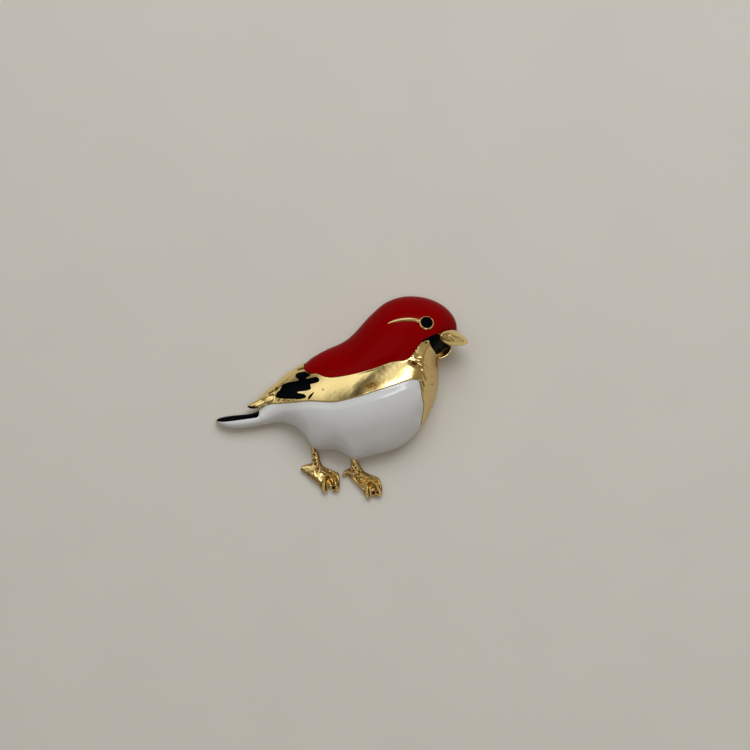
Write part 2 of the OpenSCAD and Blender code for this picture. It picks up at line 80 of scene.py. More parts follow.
# Edges between the enamels and the metal. Columns: X and Y.
WHITE_EDGE = np.array([
    [-.4995, -.12], [-.492, -.121], [-.476, -.123], [-.442, -.118], [-.406, -.112], [-.37, -.104],
    [-.352, -.099], [-.341, -.088], [-.336, -.06], [-.322, -.036], [-.306, -.036], [-.295, -.035],
    [-.259, -.03], [-.219, -.028], [-.18, -.023], [-.14, -.017], [-.102, -.018], [-.064, -.022],
    [-.029, -.023], [.009, -.013], [.049, 0], [.089, .014], [.128, .031], [.168, .047], [.208, .063],
    [.246, .08], [.277, .091], [.302, .087], [.32, .072],
])
CHEST_EDGE = np.array([[.307, -.163], [.313, -.142], [.32, -.107], [.323, -.07], [.326, -.03]])
RED_EDGE = np.array([
    [-.151, .14], [-.146, .128], [-.122, .111], [-.102, .122], [-.08, .105], [-.048, .095], [-.011, .101],
    [.027, .109], [.067, .121], [.106, .134], [.146, .151], [.186, .172], [.22, .179], [.249, .18],
    [.269, .194], [.282, .219], [.293, .237], [.304, .258], [.318, .277], [.338, .291], [.361, .306],
    [.383, .313], [.402, .323], [.424, .33], [.444, .331], [.456, .327],
])
STRIPE_EDGE = np.array([
    [-.4995, -.1185], [-.492, -.1195], [-.476, -.1215], [-.442, -.1165], [-.406, -.1105], [-.37, -.104],
    [-.351, -.101], [-.34, -.0985], [-.3325, -.0935], [-.33, -.086], [-.331, -.076], [-.333, -.065],
])
WHITE_SPAN = (.22, 20.94)
RED_SPAN = (9.12, 29.4)
STRIPE_SPAN = (.16, 4.14)
TAIL_END = 4.72
CHEST_START = 20.0
HOLLOW_SPAN = (10.0, 27.0)
EDGE = 0.004
THIN = 0.02

# Outlines in plan. Columns: X and Y.
STROKES = np.array([
    [-.187, .105], [-.178, .122], [-.158, .128], [-.141, .13], [-.128, .124], [-.121, .113], [-.128, .103],
    [-.14, .094], [-.124, .098], [-.103, .103], [-.092, .097], [-.088, .084], [-.095, .073], [-.112, .067],
    [-.123, .063], [-.12, .051], [-.122, .039], [-.136, .032], [-.157, .029], [-.175, .025], [-.16, .021],
    [-.148, .018], [-.14, .007], [-.145, -.004], [-.168, -.01], [-.207, -.01], [-.234, -.008], [-.254, -.005],
    [-.264, .004], [-.261, .018], [-.252, .034], [-.243, .048], [-.237, .063], [-.226, .071], [-.207, .077],
    [-.186, .082], [-.173, .087], [-.182, .094],
])
SLIVER = np.array([[-.135, -.008], [-.13, .009], [-.113, .027], [-.109, .025], [-.12, .002], [-.13, -.01]])
BIB = np.array([
    [.31, .268], [.321, .2835], [.34, .2945], [.358, .3045], [.375, .3115], [.386, .304], [.396, .288],
    [.41, .264], [.4235, .257], [.4195, .2495], [.4006, .2335], [.388, .2225], [.378, .2135], [.3705, .213],
    [.3665, .223], [.358, .237], [.35, .252], [.345, .268], [.343, .28], [.334, .28], [.323, .275],
])
# Brow. Columns: X, Y and share of its full width.
BROW = np.array([
    [.174, .359, .12], [.194, .37, .58], [.222, .378, .86], [.253, .382, .97], [.281, .38, 1],
    [.305, .376, .8],
])
BROW_W = 0.66
EYE = (.334, .366)
EYE_RISE = 0.3
EYE_ROOM = 1.86
RING_W = 0.24
BEAD = (-1.43, .06, .06)
BEAD_R = 0.17
# Beak. Columns: X and Y on its lower edge, X and Y on its upper edge, its top's height as a share of its
# highest point, and its share of the full thickness.
BEAK = np.array([
    [.381, .297, .381, .308, .97, .25], [.386, .283, .388, .32, 1.01, .55], [.4, .27, .406, .327, 1.01, .78],
    [.42, .2575, .432, .333, .95, .95], [.444, .253, .453, .329, .84, 1], [.466, .253, .4735, .307, .73, .92],
    [.484, .255, .4885, .2915, .63, .72], [.495, .26, .4972, .282, .55, .48],
    [.4993, .268, .4993, .2765, .5, .2],
])
BEAK_TOP = 6.8
BEAK_T = 2.8


def row_curve(table, s):
    """Uniform cubic B-spline along a table's rows, which goes on straight past its ends, at the values s."""
    s = np.asarray(s, float)
    last = len(table) - 1
    i = np.clip(np.floor(s), 0, last - 1).astype(int)
    t = (s - i)[..., None]
    rows = np.vstack([2 * table[0] - table[1], table, 2 * table[-1] - table[-2]])
    return (rows[i] * (1 - t) ** 3 + rows[i + 1] * (3 * t ** 3 - 6 * t ** 2 + 4)
            + rows[i + 2] * (1 + 3 * t + 3 * t ** 2 - 3 * t ** 3) + rows[i + 3] * t ** 3) / 6


def unit(v):
    """Vectors of length one."""
    return v / np.linalg.norm(v, axis=-1, keepdims=True)


def plan(p):
    """Plan point in millimetres of a pair of shares."""
    return np.asarray(p, float)[..., :2] * [LENGTH, HEIGHT]


def lifted(p, z):
    """Plan points with the heights z."""
    return np.concatenate([p, np.broadcast_to(z, p.shape[:-1])[..., None]], axis=-1)


def circle(count):
    """Evenly spaced angles of one full turn."""
    return np.linspace(0, 2 * np.pi, count, endpoint=False)


def sampled(table, count):
    """Evenly spaced points of a table's curve."""
    return row_curve(table, np.linspace(0, len(table) - 1, count))


def above_zero(x, soft):
    """Smooth greater of x and 0: half of x plus the root of its square and a softness."""
    return (x + np.sqrt(x * x + soft)) / 2


def chord(s):
    """Belly point, back point and crown height of the section s."""
    c = row_curve(SECTIONS, s)
    return plan(c[..., 0:2]), plan(c[..., 2:4]), c[..., 4] * DOME_H


def from_line(p, line):
    """Distance from the plan points p to a polyline."""
    best = np.full(p.shape[:-1], 1e9)
    for a, b in zip(line[:-1], line[1:]):
        d = b - a
        t = np.clip(((p - a) @ d) / (d @ d), 0, 1)[..., None]
        best = np.minimum(best, np.linalg.norm(p - a - t * d, axis=-1))
    return best


def streak(p, line, width):
    """Gaussian of the distance from the plan points p to a polyline."""
    return np.exp(-(from_line(p, line) / width) ** 2)


FRONT_LINE = chord(np.linspace(21, 29.3, 40))[0]
FRONT_ROLL = 2.6
BELLY_STEPS = np.linspace(-3.9, 3.9, 13)
HALVINGS = 26


def front_share(p):
    """Share of the height that is left near the chest's front: 1 - 0.62 * (1 - distance / roll) ** 2.6."""
    near = np.clip(from_line(p, FRONT_LINE) / FRONT_ROLL, 0, 1)
    return 1 - .62 * (1 - near) ** 2.6


def ease(x, a, b):
    """Smooth step from 0 at a to 1 at b."""
    t = np.clip((x - a) / (b - a), 0, 1)
    return t * t * (3 - 2 * t)


def quarter(x, radius):
    """Quarter circle: 0 at the distance 0 and 1 from a radius on."""
    return np.sqrt(1 - (1 - np.clip(x / radius, 0, 1)) ** 2)


def face(s, f):
    """Half an ellipse over each section's chord: the plan point moves by (1 - cos) / 2 and the height by sin.
    Over the legs' roots the height follows an evened belly line, a little way up from the outline. Near the
    chest's front it rolls off."""
    s, f = np.broadcast_arrays(s, f)
    low, high, crown = chord(s)
    turn = np.pi * f
    p = low + (high - low) * ((1 - np.cos(turn)) / 2)[..., None]
    even = sum(chord(s + k)[0] for k in BELLY_STEPS) / len(BELLY_STEPS)
    across = high - even
    t = np.clip(((p - even) * across).sum(-1) / (across * across).sum(-1), 0, 1)
    share = ease(np.linalg.norm(p - low, axis=-1), .3, 4.2) * (1 - ease(f, .5, .8))
    share = share * ease(s, 6.8, 10.5) * (1 - ease(s, 16.5, 20.0))
    rise = np.sin(turn) + (2 * np.sqrt(t * (1 - t)) - np.sin(turn)) * share
    z = RIM_H + crown * rise * front_share(p)
    return lifted(p, z)


def outward(s, f):
    """Unit normal of the face, from differences along the section number and across the half turn."""
    d = 0.02
    s, f = np.broadcast_arrays(s, f)
    along = face(np.minimum(len(SECTIONS) - 1, s + d), f) - face(np.maximum(0, s - d), f)
    return unit(np.cross(along, face(s, f + d) - face(s, f - d)))


def over(s, f, h):
    """Point at the height h over the face."""
    return face(s, f) + outward(s, f) * h[..., None]


def turned(a, b):
    """Cross product of plan vectors, above zero where b points to the left of a."""
    return a[..., 0] * b[..., 1] - a[..., 1] * b[..., 0]


def halved(low, high, goes_on):
    """Values between low and high at which a test stops holding, found by halving the range."""
    for _ in range(HALVINGS):
        middle = (low + high) / 2
        on = goes_on(middle)
        low, high = np.where(on, middle, low), np.where(on, high, middle)
    return low


def half_turn(d, across):
    """Half-turn share of the plan vector d along a chord."""
    t = (d * across).sum(-1) / (across * across).sum(-1)
    return np.arccos(1 - 2 * np.clip(t, 0, 1)) / np.pi


def place_of(p, a, b):
    """Section and half-turn share of the plan points p, between the sections a and b."""
    def before(s):
        low, high, _crown = chord(s)
        return turned(high - low, p - low) < 0

    s = halved(a, b, before)
    low, high, _crown = chord(s)
    return s, half_turn(p - low, high - low)


def crossing(edge, s):
    """Half-turn share at which each section's chord crosses an edge curve."""
    low, high, _crown = chord(s)
    across = high - low
    at = halved(0, len(edge) - 1, lambda k: turned(across, plan(row_curve(edge, k)) - low) > 0)
    return half_turn(plan(row_curve(edge, at)) - low, across)


def per_mm(s, f):
    """Half-turn share of a millimetre of the face."""
    f, d = np.clip(f, .01, .99), .001
    return 2 * d / np.linalg.norm(face(s, f + d) - face(s, f - d), axis=-1)


def chest_share(s):
    """Half-turn share of the white enamel's lower or right edge."""
    edge = np.maximum(EDGE, crossing(CHEST_EDGE, np.minimum(s, WHITE_SPAN[1])))
    return np.where(s <= CHEST_START, EDGE, edge)


def stripe_share(s):
    """Half-turn share of the lower edge of the tail's stripe, which turns up to the outline at its end."""
    return np.minimum(1 - 2 * EDGE, crossing(STRIPE_EDGE, np.clip(s, *STRIPE_SPAN)))


def white_share(s):
    """Half-turn share of the white enamel's upper edge: just under the stripe, then along the wing."""
    edge = np.minimum(1 - 2 * EDGE, crossing(WHITE_EDGE, np.clip(s, *WHITE_SPAN)))
    stripe = stripe_share(s)
    return np.where(s < STRIPE_SPAN[1], stripe - THIN * per_mm(s, stripe), edge)


def red_share(s):
    """Half-turn share of the lower edge of the tail's stripe and of the red enamel, eased between them."""
    stripe = stripe_share(s)
    red = np.minimum(1 - 4 * EDGE, crossing(RED_EDGE, np.clip(s, *RED_SPAN)))
    t = np.clip((s - STRIPE_SPAN[1]) / (RED_SPAN[0] - STRIPE_SPAN[1]), 0, 1)
    white = white_share(s)
    between = np.maximum(stripe + (red - stripe) * t, white + (1 - white) * .3)
    return np.where(s < STRIPE_SPAN[1], stripe, np.where(s > RED_SPAN[0], red, between))


def swell(p, wavelength, seed, waves=9):
    """Sum of plane waves of about one wavelength in directions drawn from a seed, scaled to about one."""
    draw = np.random.default_rng(seed)
    angle = draw.uniform(0, 2 * np.pi, waves)
    size = draw.uniform(.7, 1.4, waves) * 2 * np.pi / wavelength
    shift = draw.uniform(0, 2 * np.pi, waves)
    phase = p[..., 0, None] * np.cos(angle) * size + p[..., 1, None] * np.sin(angle) * size + shift
    return np.sin(phase).sum(-1) / np.sqrt(waves / 2)


def spot(p, middle, radius_x, radius_y, angle):
    """Round-topped bump: the Gaussian of the distance in an ellipse turned by an angle in degrees."""
    c, s = np.cos(np.radians(angle)), np.sin(np.radians(angle))
    d = p - middle
    u, v = (d[..., 0] * c + d[..., 1] * s) / radius_x, (d[..., 1] * c - d[..., 0] * s) / radius_y
    return np.exp(-(u * u + v * v))


# Marks in the gold. Columns of a line: X and Y along it; then width, height and how much it darkens the gold.
LINES = [
    ([[-.1737, .1373], [-.163, .142], [-.1518, .1472]], .15, -.16, 1),
    ([[-.313, -.004], [-.255, .056], [-.2035, .11], [-.1717, .133]], .2, .06, 0),
    ([[-.29, .018], [-.27, .035], [-.238, .06]], .1, -.11, 1),
    ([[-.29, .008], [-.276, .0105], [-.266, .011]], .09, -.07, .75),
    ([[-.286, .013], [-.266, .026], [-.248, .04]], .13, .07, 0),
    ([[-.335, -.04], [-.3, -.021], [-.274, -.008]], .16, .05, 0),
    ([[.3077, .0825], [.315, .078], [.3235, .04], [.3275, .006]], .17, .07, 0),
    ([[.3144, .0795], [.319, .07], [.3235, .055]], .1, -.14, .8),
    ([[.31, .1368], [.32, .115], [.3303, .0854]], .13, -.1, .45),
]
# Columns of a spot: X, Y, two radii in millimetres, angle, height and how much it darkens the gold.
SPOTS = [
    # Wrinkles of the shoulder; the dents between and under them are darkened with painted shade.
    [.28, .205, .62, .22, -12, .12, 0], [.302, .193, .55, .15, -14, -.07, .2],
    [.306, .183, .72, .22, -16, .11, 0], [.293, .196, .4, .1, -14, -.05, .25],
    [.315, .156, .6, .18, -22, .09, 0], [.308, .168, .45, .1, -18, -.06, .25],
    [.284, .1655, .62, .26, -24, -.26, 1.0], [.306, .148, .5, .2, -38, -.14, .45],
    [.2667, .1778, .15, .12, 0, -.08, .9], [.3327, .2686, .24, .15, 0, -.12, 1.0],
    [.2937, .239, .17, .15, 30, -.12, 1.0], [.2893, .2232, .14, .12, 30, -.1, 1.0],
    [.3474, .2232, .11, .09, 0, -.06, .6], [.3589, .2133, .11, .09, 0, -.06, .6],
    [.3327, .1467, .1, .09, 0, -.06, .5], [.3514, .1373, .11, .09, 0, -.06, .5],
    [.355, .1032, .12, .11, 0, -.07, .6], [.347, .0637, .11, .09, 0, -.06, .5],
    [.3573, .0632, .15, .13, 0, -.1, .8], [.3704, .158, .1, .1, 0, -.06, .9],
    # From the second spot of this row to the end of the row after next: flat spots on the band that paint a
    # dark reflection onto it.
    [-.0743, .0385, .11, .11, 0, -.06, .7], [.115, .06, 1.5, .7, 15, 0, .5], [.101, .059, .42, .3, 30, 0, .8],
    [.119, .068, .62, .26, 12, 0, .86], [.112, .052, .55, .2, 10, 0, .84], [.13, .062, .34, .24, -20, 0, .74],
    [.088, .056, .26, .14, 0, 0, .62], [.14, .074, .22, .12, 0, 0, .58],
    [-.254, -.0163, .1, .12, -20, -.09, .95], [-.25, -.0109, .08, .09, -20, -.07, .9],
    [-.2325, -.0163, .09, .12, -20, -.09, .95], [-.2269, -.0128, .07, .09, -20, -.07, .85],
    [-.2198, -.019, .07, .1, -20, -.07, .85], [-.2114, -.0178, .08, .1, -10, -.07, .85],
    [-.195, -.0165, .07, .08, 0, -.05, .7], [-.179, -.016, .06, .08, 0, -.05, .6],
]


def relief(p):
    """Height of the gold's marks at the plan points p, and how much they darken the gold, from 0 to 1, which
    takes in painted shade in dents and a painted dark reflection on the band.
    """
    height = .006 * swell(p, 3.2, 3) + .0012 * swell(p, 1.0, 4)
    dirt = np.zeros(p.shape[:-1])
    for line, width, rise, soil_and_painted_shade in LINES:
        mark = streak(p, plan(line), width)
        height, dirt = height + rise * mark, np.maximum(dirt, soil_and_painted_shade * mark)
    for x, y, rx, ry, angle, rise, soil_and_painted_shade in SPOTS:
        mark = spot(p, plan([x, y]), rx, ry, angle)
        height, dirt = height + rise * mark, np.maximum(dirt, soil_and_painted_shade * mark)
    return height, dirt


def grid_quads(rows, cols, wrap=True):
    """Quads of a grid of rows by cols points listed row by row, whose rows are closed loops if it wraps."""
    i = np.arange(rows - 1)[:, None] * cols
    j = np.arange(cols if wrap else cols - 1)[None, :]
    k = (j + 1) % cols
    return np.stack([i + j, i + k, i + cols + k, i + cols + j], axis=-1).reshape(-1, 4)


def linked(name, data):
    """New object with its data, in the scene."""
    made = bpy.data.objects.new(name, data)
    bpy.context.scene.collection.objects.link(made)
    return made


def piece(name, points, faces, finish, node, dirt=None, satin=None, polish=None, merge=False, sharp=40):
    """Mesh from points in millimetres and arrays of faces, with its material, the node it stands for and
    sharp edges past an angle. The darkening from dirt and painted shade, satin and polish have a value from 0
    to 1 for each point."""
    material, slot = finish
    mesh = bpy.data.meshes.new(name)
    mesh.from_pydata((points.reshape(-1, 3) * MM).tolist(), [], [q for part in faces for q in part.tolist()])
    for label, values in (("dirt", dirt), ("satin", satin), ("polish", polish)):
        if values is not None:
            layer = mesh.attributes.new(label, "FLOAT", "POINT")
            layer.data.foreach_set("value", np.ascontiguousarray(values, np.float32).ravel())
    if merge:
        work = bmesh.new()
        work.from_mesh(mesh)
        bmesh.ops.remove_doubles(work, verts=work.verts, dist=1e-7)
        bmesh.ops.recalc_face_normals(work, faces=work.faces)
        work.to_mesh(mesh)
        work.free()
    mesh.validate()
    mesh.polygons.foreach_set("use_smooth", np.ones(len(mesh.polygons), bool))
    mesh.set_sharp_from_angle(angle=np.radians(sharp))
    mesh.materials.append(material)
    made = linked(name, mesh)
    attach(made, "root")
    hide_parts(node)


def loft(name, rows, finish, node, caps=False, merge=True, **looks):
    """Piece from rows of points that are closed loops, with a flat cap at each end if it has caps."""
    count, cols = rows.shape[:2]
    end = np.arange(cols)[None, :]
    ends = [end[:, ::-1], (count - 1) * cols + end] if caps else []
    piece(name, rows, [grid_quads(count, cols), *ends], finish, node, merge=merge, **looks)


def plate(name, upper, lower, triangles, count, finish, node, **looks):
    """Piece from an upper and a lower sheet of triangles, with a wall round their first count points."""
    n = len(upper)
    ring = np.arange(count)
    after = np.roll(ring, -1)
    faces = [triangles, triangles[:, ::-1] + n, np.stack([ring, ring + n, after + n, after], axis=1)]
    piece(name, np.stack([upper, lower]), faces, finish, node, **looks)


class Wire:
    """Output of a shader node. Its arithmetic adds Math nodes, and one method adds any other node."""

    def __init__(self, tree, socket=None):
        self.tree, self.socket = tree, socket

    def node(self, kind, settings=None, inputs=None, output=0):
        made = self.tree.nodes.new("ShaderNode" + kind)
        for name, value in (settings or {}).items():
            setattr(made, name, value)
        for name, value in (inputs or {}).items():
            if isinstance(value, Wire):
                self.tree.links.new(value.socket, made.inputs[name])
            else:
                made.inputs[name].default_value = value
        return Wire(self.tree, made.outputs[output] if len(made.outputs) else None)

    def math(self, operation, a, b):
        return self.node("Math", {"operation": operation}, {0: a, 1: b})

    def __add__(self, other):
        return self.math("ADD", self, other)

    def __sub__(self, other):
        return self.math("SUBTRACT", self, other)

    def __rsub__(self, other):
        return self.math("SUBTRACT", other, self)

    def __mul__(self, other):
        return self.math("MULTIPLY", self, other)

    __radd__, __rmul__ = __add__, __mul__

    def clamp(self):
        return self.node("Clamp", {}, {"Value": self})

    def noise(self, where, scale, detail):
        """Noise with about one feature each 1 / scale metres."""
        return self.node("TexNoise", {}, {"Vector": where, "Scale": scale, "Detail": detail})

    def blend(self, share, a, b):
        """Colour from a to b by a share."""
        a, b = (v if isinstance(v, Wire) else (*v, 1) for v in (a, b))
        return self.node("Mix", {"data_type": "RGBA"}, {0: share, 6: a, 7: b}, output=2)


def new_material(name):
    """Empty node material, a Wire to build from and the object's own coordinates."""
    made = bpy.data.materials.new(name)
    made.use_nodes = True
    made.node_tree.nodes.clear()
    w = Wire(made.node_tree)
    return made, w, w.node("TexCoord", output=3)


def surface(wire, colour, settings):
    """Principled shader with constants on its own sockets, linked to the material's output."""
    shader = wire.node("BsdfPrincipled", {}, {"Base Color": colour, **settings})
    wire.node("OutputMaterial", {}, {"Surface": shader})


def gold_plate():
    """Pale polished gold: mottled roughness, a fine grain, and colour turned amber and then near-black where
    the mesh holds darkening: marks, painted shade in hollows, creases and gaps, and a painted dark reflection
    on the band.
    """
    made, w, where = new_material("gold_plate")
    dirt, satin, polish = (w.node("Attribute", {"attribute_name": name}, output=2)
                           for name in ("dirt", "satin", "polish"))
    mottle = w.noise(where, 900, 3)
    tone = w.blend(mottle, (.86, .655, .265), (.94, .755, .345))
    # Painted shade and marks: the darkening value turns the gold amber, then near-black.
    amber = w.blend((dirt * 2).clamp(), tone, (.4, .21, .05))
    colour = w.blend((dirt * 2 - 1).clamp(), amber, (.025, .014, .005))
    rough = mottle * .13 + dirt * .3 + satin * .2 + .1
    grain = w.noise(where, 6500, 2) * .5 + w.noise(where, 1700, 2) * .5
    bump = w.node("Bump", {}, {"Strength": .11, "Distance": .00006, "Height": grain * (1 - polish)})
    surface(w, colour, {"Metallic": 1.0, "Roughness": rough, "Normal": bump})
    return made, "gold_plate"


def enamel(name, deep, light, rough, specular, tint, coat=0.0):
    """Glossy enamel: colour that drifts a little, a hard coat and a faint swell of its surface."""
    made, w, where = new_material(name)
    colour = w.blend(w.noise(where, 260, 2), deep, light)
    specks = w.noise(where, 7000, 0)
    bump = w.node("Bump", {}, {"Strength": .06, "Distance": .0003, "Height": w.noise(where, 420, 1)})
    surface(w, colour, {
        "Roughness": rough + specks * .03, "Specular IOR Level": specular, "Specular Tint": (*tint, 1),
        "Coat Weight": coat, "Coat Roughness": .04, "Normal": bump})
    return made, name


def pin_metal():
    """Plain plated wire and strip, a little brushed along its length."""
    made, w, where = new_material("pin_metal")
    along = w.node("Mapping", {}, {"Vector": where, "Scale": (.05, 1, 1)})
    streaks = w.noise(along, 9000, 2)
    colour = w.blend(streaks, (.62, .52, .32), (.78, .68, .45))
    bump = w.node("Bump", {}, {"Strength": .1, "Distance": .00005, "Height": streaks})
    surface(w, colour, {"Metallic": 1.0, "Roughness": streaks * .15 + .2, "Normal": bump})
    return made


def pale_floor():
    """Plain pale warm floor with a very faint unevenness."""
    made, w, where = new_material("pale_floor")
    colour = w.blend(w.noise(where, 60, 2), (.545, .527, .492), (.575, .556, .52))
    surface(w, colour, {"Roughness": .9, "Specular IOR Level": .2})
    return made


def body_rows():
    """Section numbers of the shell's rows: fine steps, and two rows close together at each end wall."""
    pair = .01
    starts = np.array([STRIPE_SPAN[0], WHITE_SPAN[0], RED_SPAN[0], HOLLOW_SPAN[0]])
    stops = np.array([STRIPE_SPAN[1], TAIL_END, WHITE_SPAN[1], HOLLOW_SPAN[1], RED_SPAN[1]])
    ends = np.concatenate([starts - pair / 2, stops + pair / 2])
    walls = (ends[:, None] + np.array([-.05, -pair / 2, pair / 2, .05])).ravel()
    even = np.arange(0, len(SECTIONS) - 1 + .001, .062)
    clear = np.abs(even[:, None] - ends[None, :]).min(1) > .06
    return np.unique(np.round(np.concatenate([even[clear], walls]), 5))


def inside(s, span):
    """Whether the sections lie in a span."""
    return (s > span[0] - .002) & (s < span[1] + .002)


# Rolled edges of the metal beside an enamel, in millimetres: distances from the enamel's edge, and the
# heights over the face there, on the white enamel's side and along the red.
LIP_AT = np.array([0, .03, .09, .2])
LIP_H = np.array([-.05, -.015, 0, 0])
BAND_H = np.array([-.04, .03, .035, .01])
TUCK = 0.1
BEVEL = 0.12
BIB_DEPTH = 0.65
# Enamels: by what share of its rounding radius the surface falls at its edge, the gap under a glaze, and how
# much a glaze's points crowd towards its sides.
EDGE_FALL = 0.8
GAP_UNDER = 0.06
CROWD = 0.115
# How far inside its room's span a glaze starts and stops, and the step between its rows, in section numbers.
START_IN = 0.015
STOP_IN = 0.01
ROW_STEP = 0.12
# Points across the shell's front: on the belly's rim, in the white room, on the metal and in the red room.
RIM_COLS, WHITE_COLS, METAL_COLS, RED_COLS = 10, 46, 72, 14


def front_columns(s):
    """Half-turn shares and heights of the shell's front for the sections: rim, metal and enamel rooms in
    turn. Then the heights of the rim at the belly's side and at the back's side."""
    w, x, r = chest_share(s), white_share(s), red_share(s)
    w_mm, x_mm, r_mm = per_mm(s, w), per_mm(s, x), per_mm(s, r)
    in_white = inside(s, WHITE_SPAN)
    in_red = inside(s, RED_SPAN) | inside(s, STRIPE_SPAN)
    columns, heights = [], []

    def add(f, h):
        columns.append(f * np.ones_like(s))
        heights.append(h * np.ones_like(s))

    def stretch(a, b, count, h):
        for t in np.linspace(0, 1, count):
            add(a + (b - a) * t, h)

    def off_tail(h):
        return np.where(s < TAIL_END, -ROOM_DEPTH, h)

    tuck_low = np.where(in_white & (s < CHEST_START), -TUCK * ease(s, .5, 1.6), 0)
    tuck_high = np.where(in_red, -TUCK, 0)
    stretch(0, np.maximum(w - .25 * w_mm, w * .5), RIM_COLS, tuck_low)
    for d, h in zip(LIP_AT[2::-1], LIP_H[2::-1]):
        add(w - np.minimum(d * w_mm, w * .4), h * (in_white & (s > CHEST_START)) + tuck_low)
    stretch(w + THIN * w_mm, x - THIN * x_mm, WHITE_COLS, np.where(in_white, -ROOM_DEPTH, 0))
    for d, h in zip(LIP_AT, LIP_H):
        add(x + np.minimum(d * x_mm, (r - x) * .3), off_tail(h * in_white))
    start, stop = x + np.minimum(.3 * x_mm, (r - x) * .35), r - np.minimum(.3 * r_mm, (r - x) * .35)
    stretch(start, stop, METAL_COLS, off_tail(0))
    for d, h in zip(LIP_AT[::-1], BAND_H[::-1]):
        add(r - np.minimum(d * r_mm, (r - x) * .3), off_tail(h * in_red))
    start = r + np.minimum(THIN * r_mm, (1 - r) * .3)
    stretch(start, 1 - 1.5 * EDGE, RED_COLS, np.where(in_red, -ROOM_DEPTH, 0))
    add(1 - EDGE, tuck_high)
    add(1, tuck_high)
    return np.array(columns).T, np.array(heights).T, tuck_low, tuck_high


def casting_shell(gold):
    """Closed loops across the body, one for each section: rim, metal, enamel rooms, rim and hollow back."""
    s = body_rows()
    f, h, tuck_low, tuck_high = front_columns(s)
    points = face(s[:, None], f)
    rise, dirt = relief(points[..., :2])
    on_metal = (h > -.3) & (f > .015) & (f < .985) & (points[..., 2] > RIM_H + .3)
    h, dirt = h + np.where(on_metal, rise, 0), np.where(on_metal, dirt, 0)
    ring = rounded(BIB)
    front_rows = s > 19
    p = points[front_rows][..., :2]
    in_bib = is_within(p.reshape(-1, 2), ring).reshape(p.shape[:2])
    from_ring = from_line(p, np.vstack([ring, ring[:1]]))
    h[front_rows] -= np.where(in_bib, BIB_DEPTH * np.clip(from_ring / BEVEL, 0, 1), 0)
    outer = points + outward(s[:, None], f) * h[..., None]
    low, high, crown = chord(s)
    crown = (crown * front_share((low + high) / 2))[:, None]
    depth = np.minimum(ROOM_DEPTH + WALL, np.linalg.norm(high - low, axis=1) / 4)[:, None]
    n_low, n_high = outward(s, 0)[:, :2], outward(s, 1)[:, :2]
    low, high = low + n_low * tuck_low[:, None], high + n_high * tuck_high[:, None]
    inner_low, inner_high = low - n_low * depth, high - n_high * depth

    def at_height(p, z):
        return lifted(p, z)[:, None, :]

    turn = np.pi * np.linspace(0, 1, 16)
    t = (EDGE + (1 - 2 * EDGE) * (1 - np.cos(turn)) / 2)[None, :, None]
    inner = inner_high[:, None, :] + (inner_low - inner_high)[:, None, :] * t
    vault = (RIM_H + (crown - depth) * np.sin(turn)) + .05 * swell(inner, 1.6, 8) * np.sin(turn)
    vault = np.where(inside(s, HOLLOW_SPAN)[:, None], vault, 0)
    loops = np.concatenate([
        at_height(low - n_low * BEVEL, 0), at_height(low, BEVEL), outer, at_height(high, BEVEL),
        at_height(high - n_high * BEVEL, 0), at_height(inner_high, 0), lifted(inner, vault),
        at_height(inner_low, 0)], axis=1)
    x = loops[..., 0] / LENGTH
    # Painted shade darkens the chest a little; the marks' own darkening is kept where it is darker.
    chest = ease(x, .305, .335)
    soil_and_painted_shade = .14 * chest
    on_front = soil_and_painted_shade[:, 2:2 + f.shape[1]]
    np.maximum(on_front, dirt, out=on_front)
    satin = .1 + .8 * chest + .35 * (1 - ease(x, .015, .055))
    loft("cast_body", loops, gold, "casting", caps=True, merge=False, dirt=soil_and_painted_shade, satin=satin, sharp=55)


def slab_mesh(top, bottom):
    """Points and faces of a closed slab between two grids of the same shape."""
    rows, cols = top.shape[:2]
    count = rows * cols
    upper = grid_quads(rows, cols, wrap=False)
    index = np.arange(count).reshape(rows, cols)
    ring = np.concatenate([index[:-1, 0], index[-1, :-1], index[:0:-1, -1], index[0, :0:-1]])
    after = np.roll(ring, -1)
    side = np.stack([ring + count, after + count, after, ring], axis=1)
    return np.stack([top, bottom]), [upper, upper[:, ::-1] + count, side]


def run_along(points, axis):
    """Distance along a grid of points from its first row or column."""
    steps = np.linalg.norm(np.diff(points, axis=axis), axis=-1)
    return np.insert(np.cumsum(steps, axis=axis), 0, 0, axis=axis)


def glaze(name, s, f0, f1, cols, sunk, finish, node, edge_r=.16, open_low=0, open_high=False, tail_r=None):
    """Enamel over a strip of the face from the half-turn share f0 to f1. Its surface lies a little under the
    metal and rounds down at its edges. An open side runs on to the outline, the low one up to a section."""
    u = np.linspace(0, 1, cols)
    u = u - CROWD * np.sin(2 * np.pi * u)
    low = f0 + THIN * per_mm(s, f0) * (s >= open_low)
    high = f1 - THIN * per_mm(s, f1) * (not open_high)
    f = low[:, None] + (high - low)[:, None] * u
    s = s[:, None]
    points = face(s, f)
    across, along = run_along(points, 1), run_along(points, 0)
    e = np.minimum(along, along[-1:] - along)
    e = np.minimum(e, across + np.where(s < open_low, 9, 0))
    if not open_high:
        e = np.minimum(e, across[:, -1:] - across)
    radius = np.where(s < TAIL_END, tail_r or edge_r, edge_r)
    round_off = -radius * EDGE_FALL * (1 - quarter(e, radius))
    sink = sunk * ease(s, TAIL_END - 1, TAIL_END + 2)
    level = -sink * (1 - ease(e, .2, 1.4)) - .012
    under = np.full(f.shape, GAP_UNDER - ROOM_DEPTH)
    points, faces = slab_mesh(over(s, f, level + round_off), over(s, f, under))
    piece(name, points, faces, finish, node, sharp=60)


def edge_rows(a, b, step):
    """Section numbers from a to b, close together at both ends."""
    inner = np.linspace(a, b, int((b - a) / step) + 1)[1:-1]
    inner = inner[(inner > a + .1) & (inner < b - .1)]
    near = np.array([0, .01, .03, .06])
    return np.unique(np.round(np.concatenate([a + near, inner, b - near]), 5))


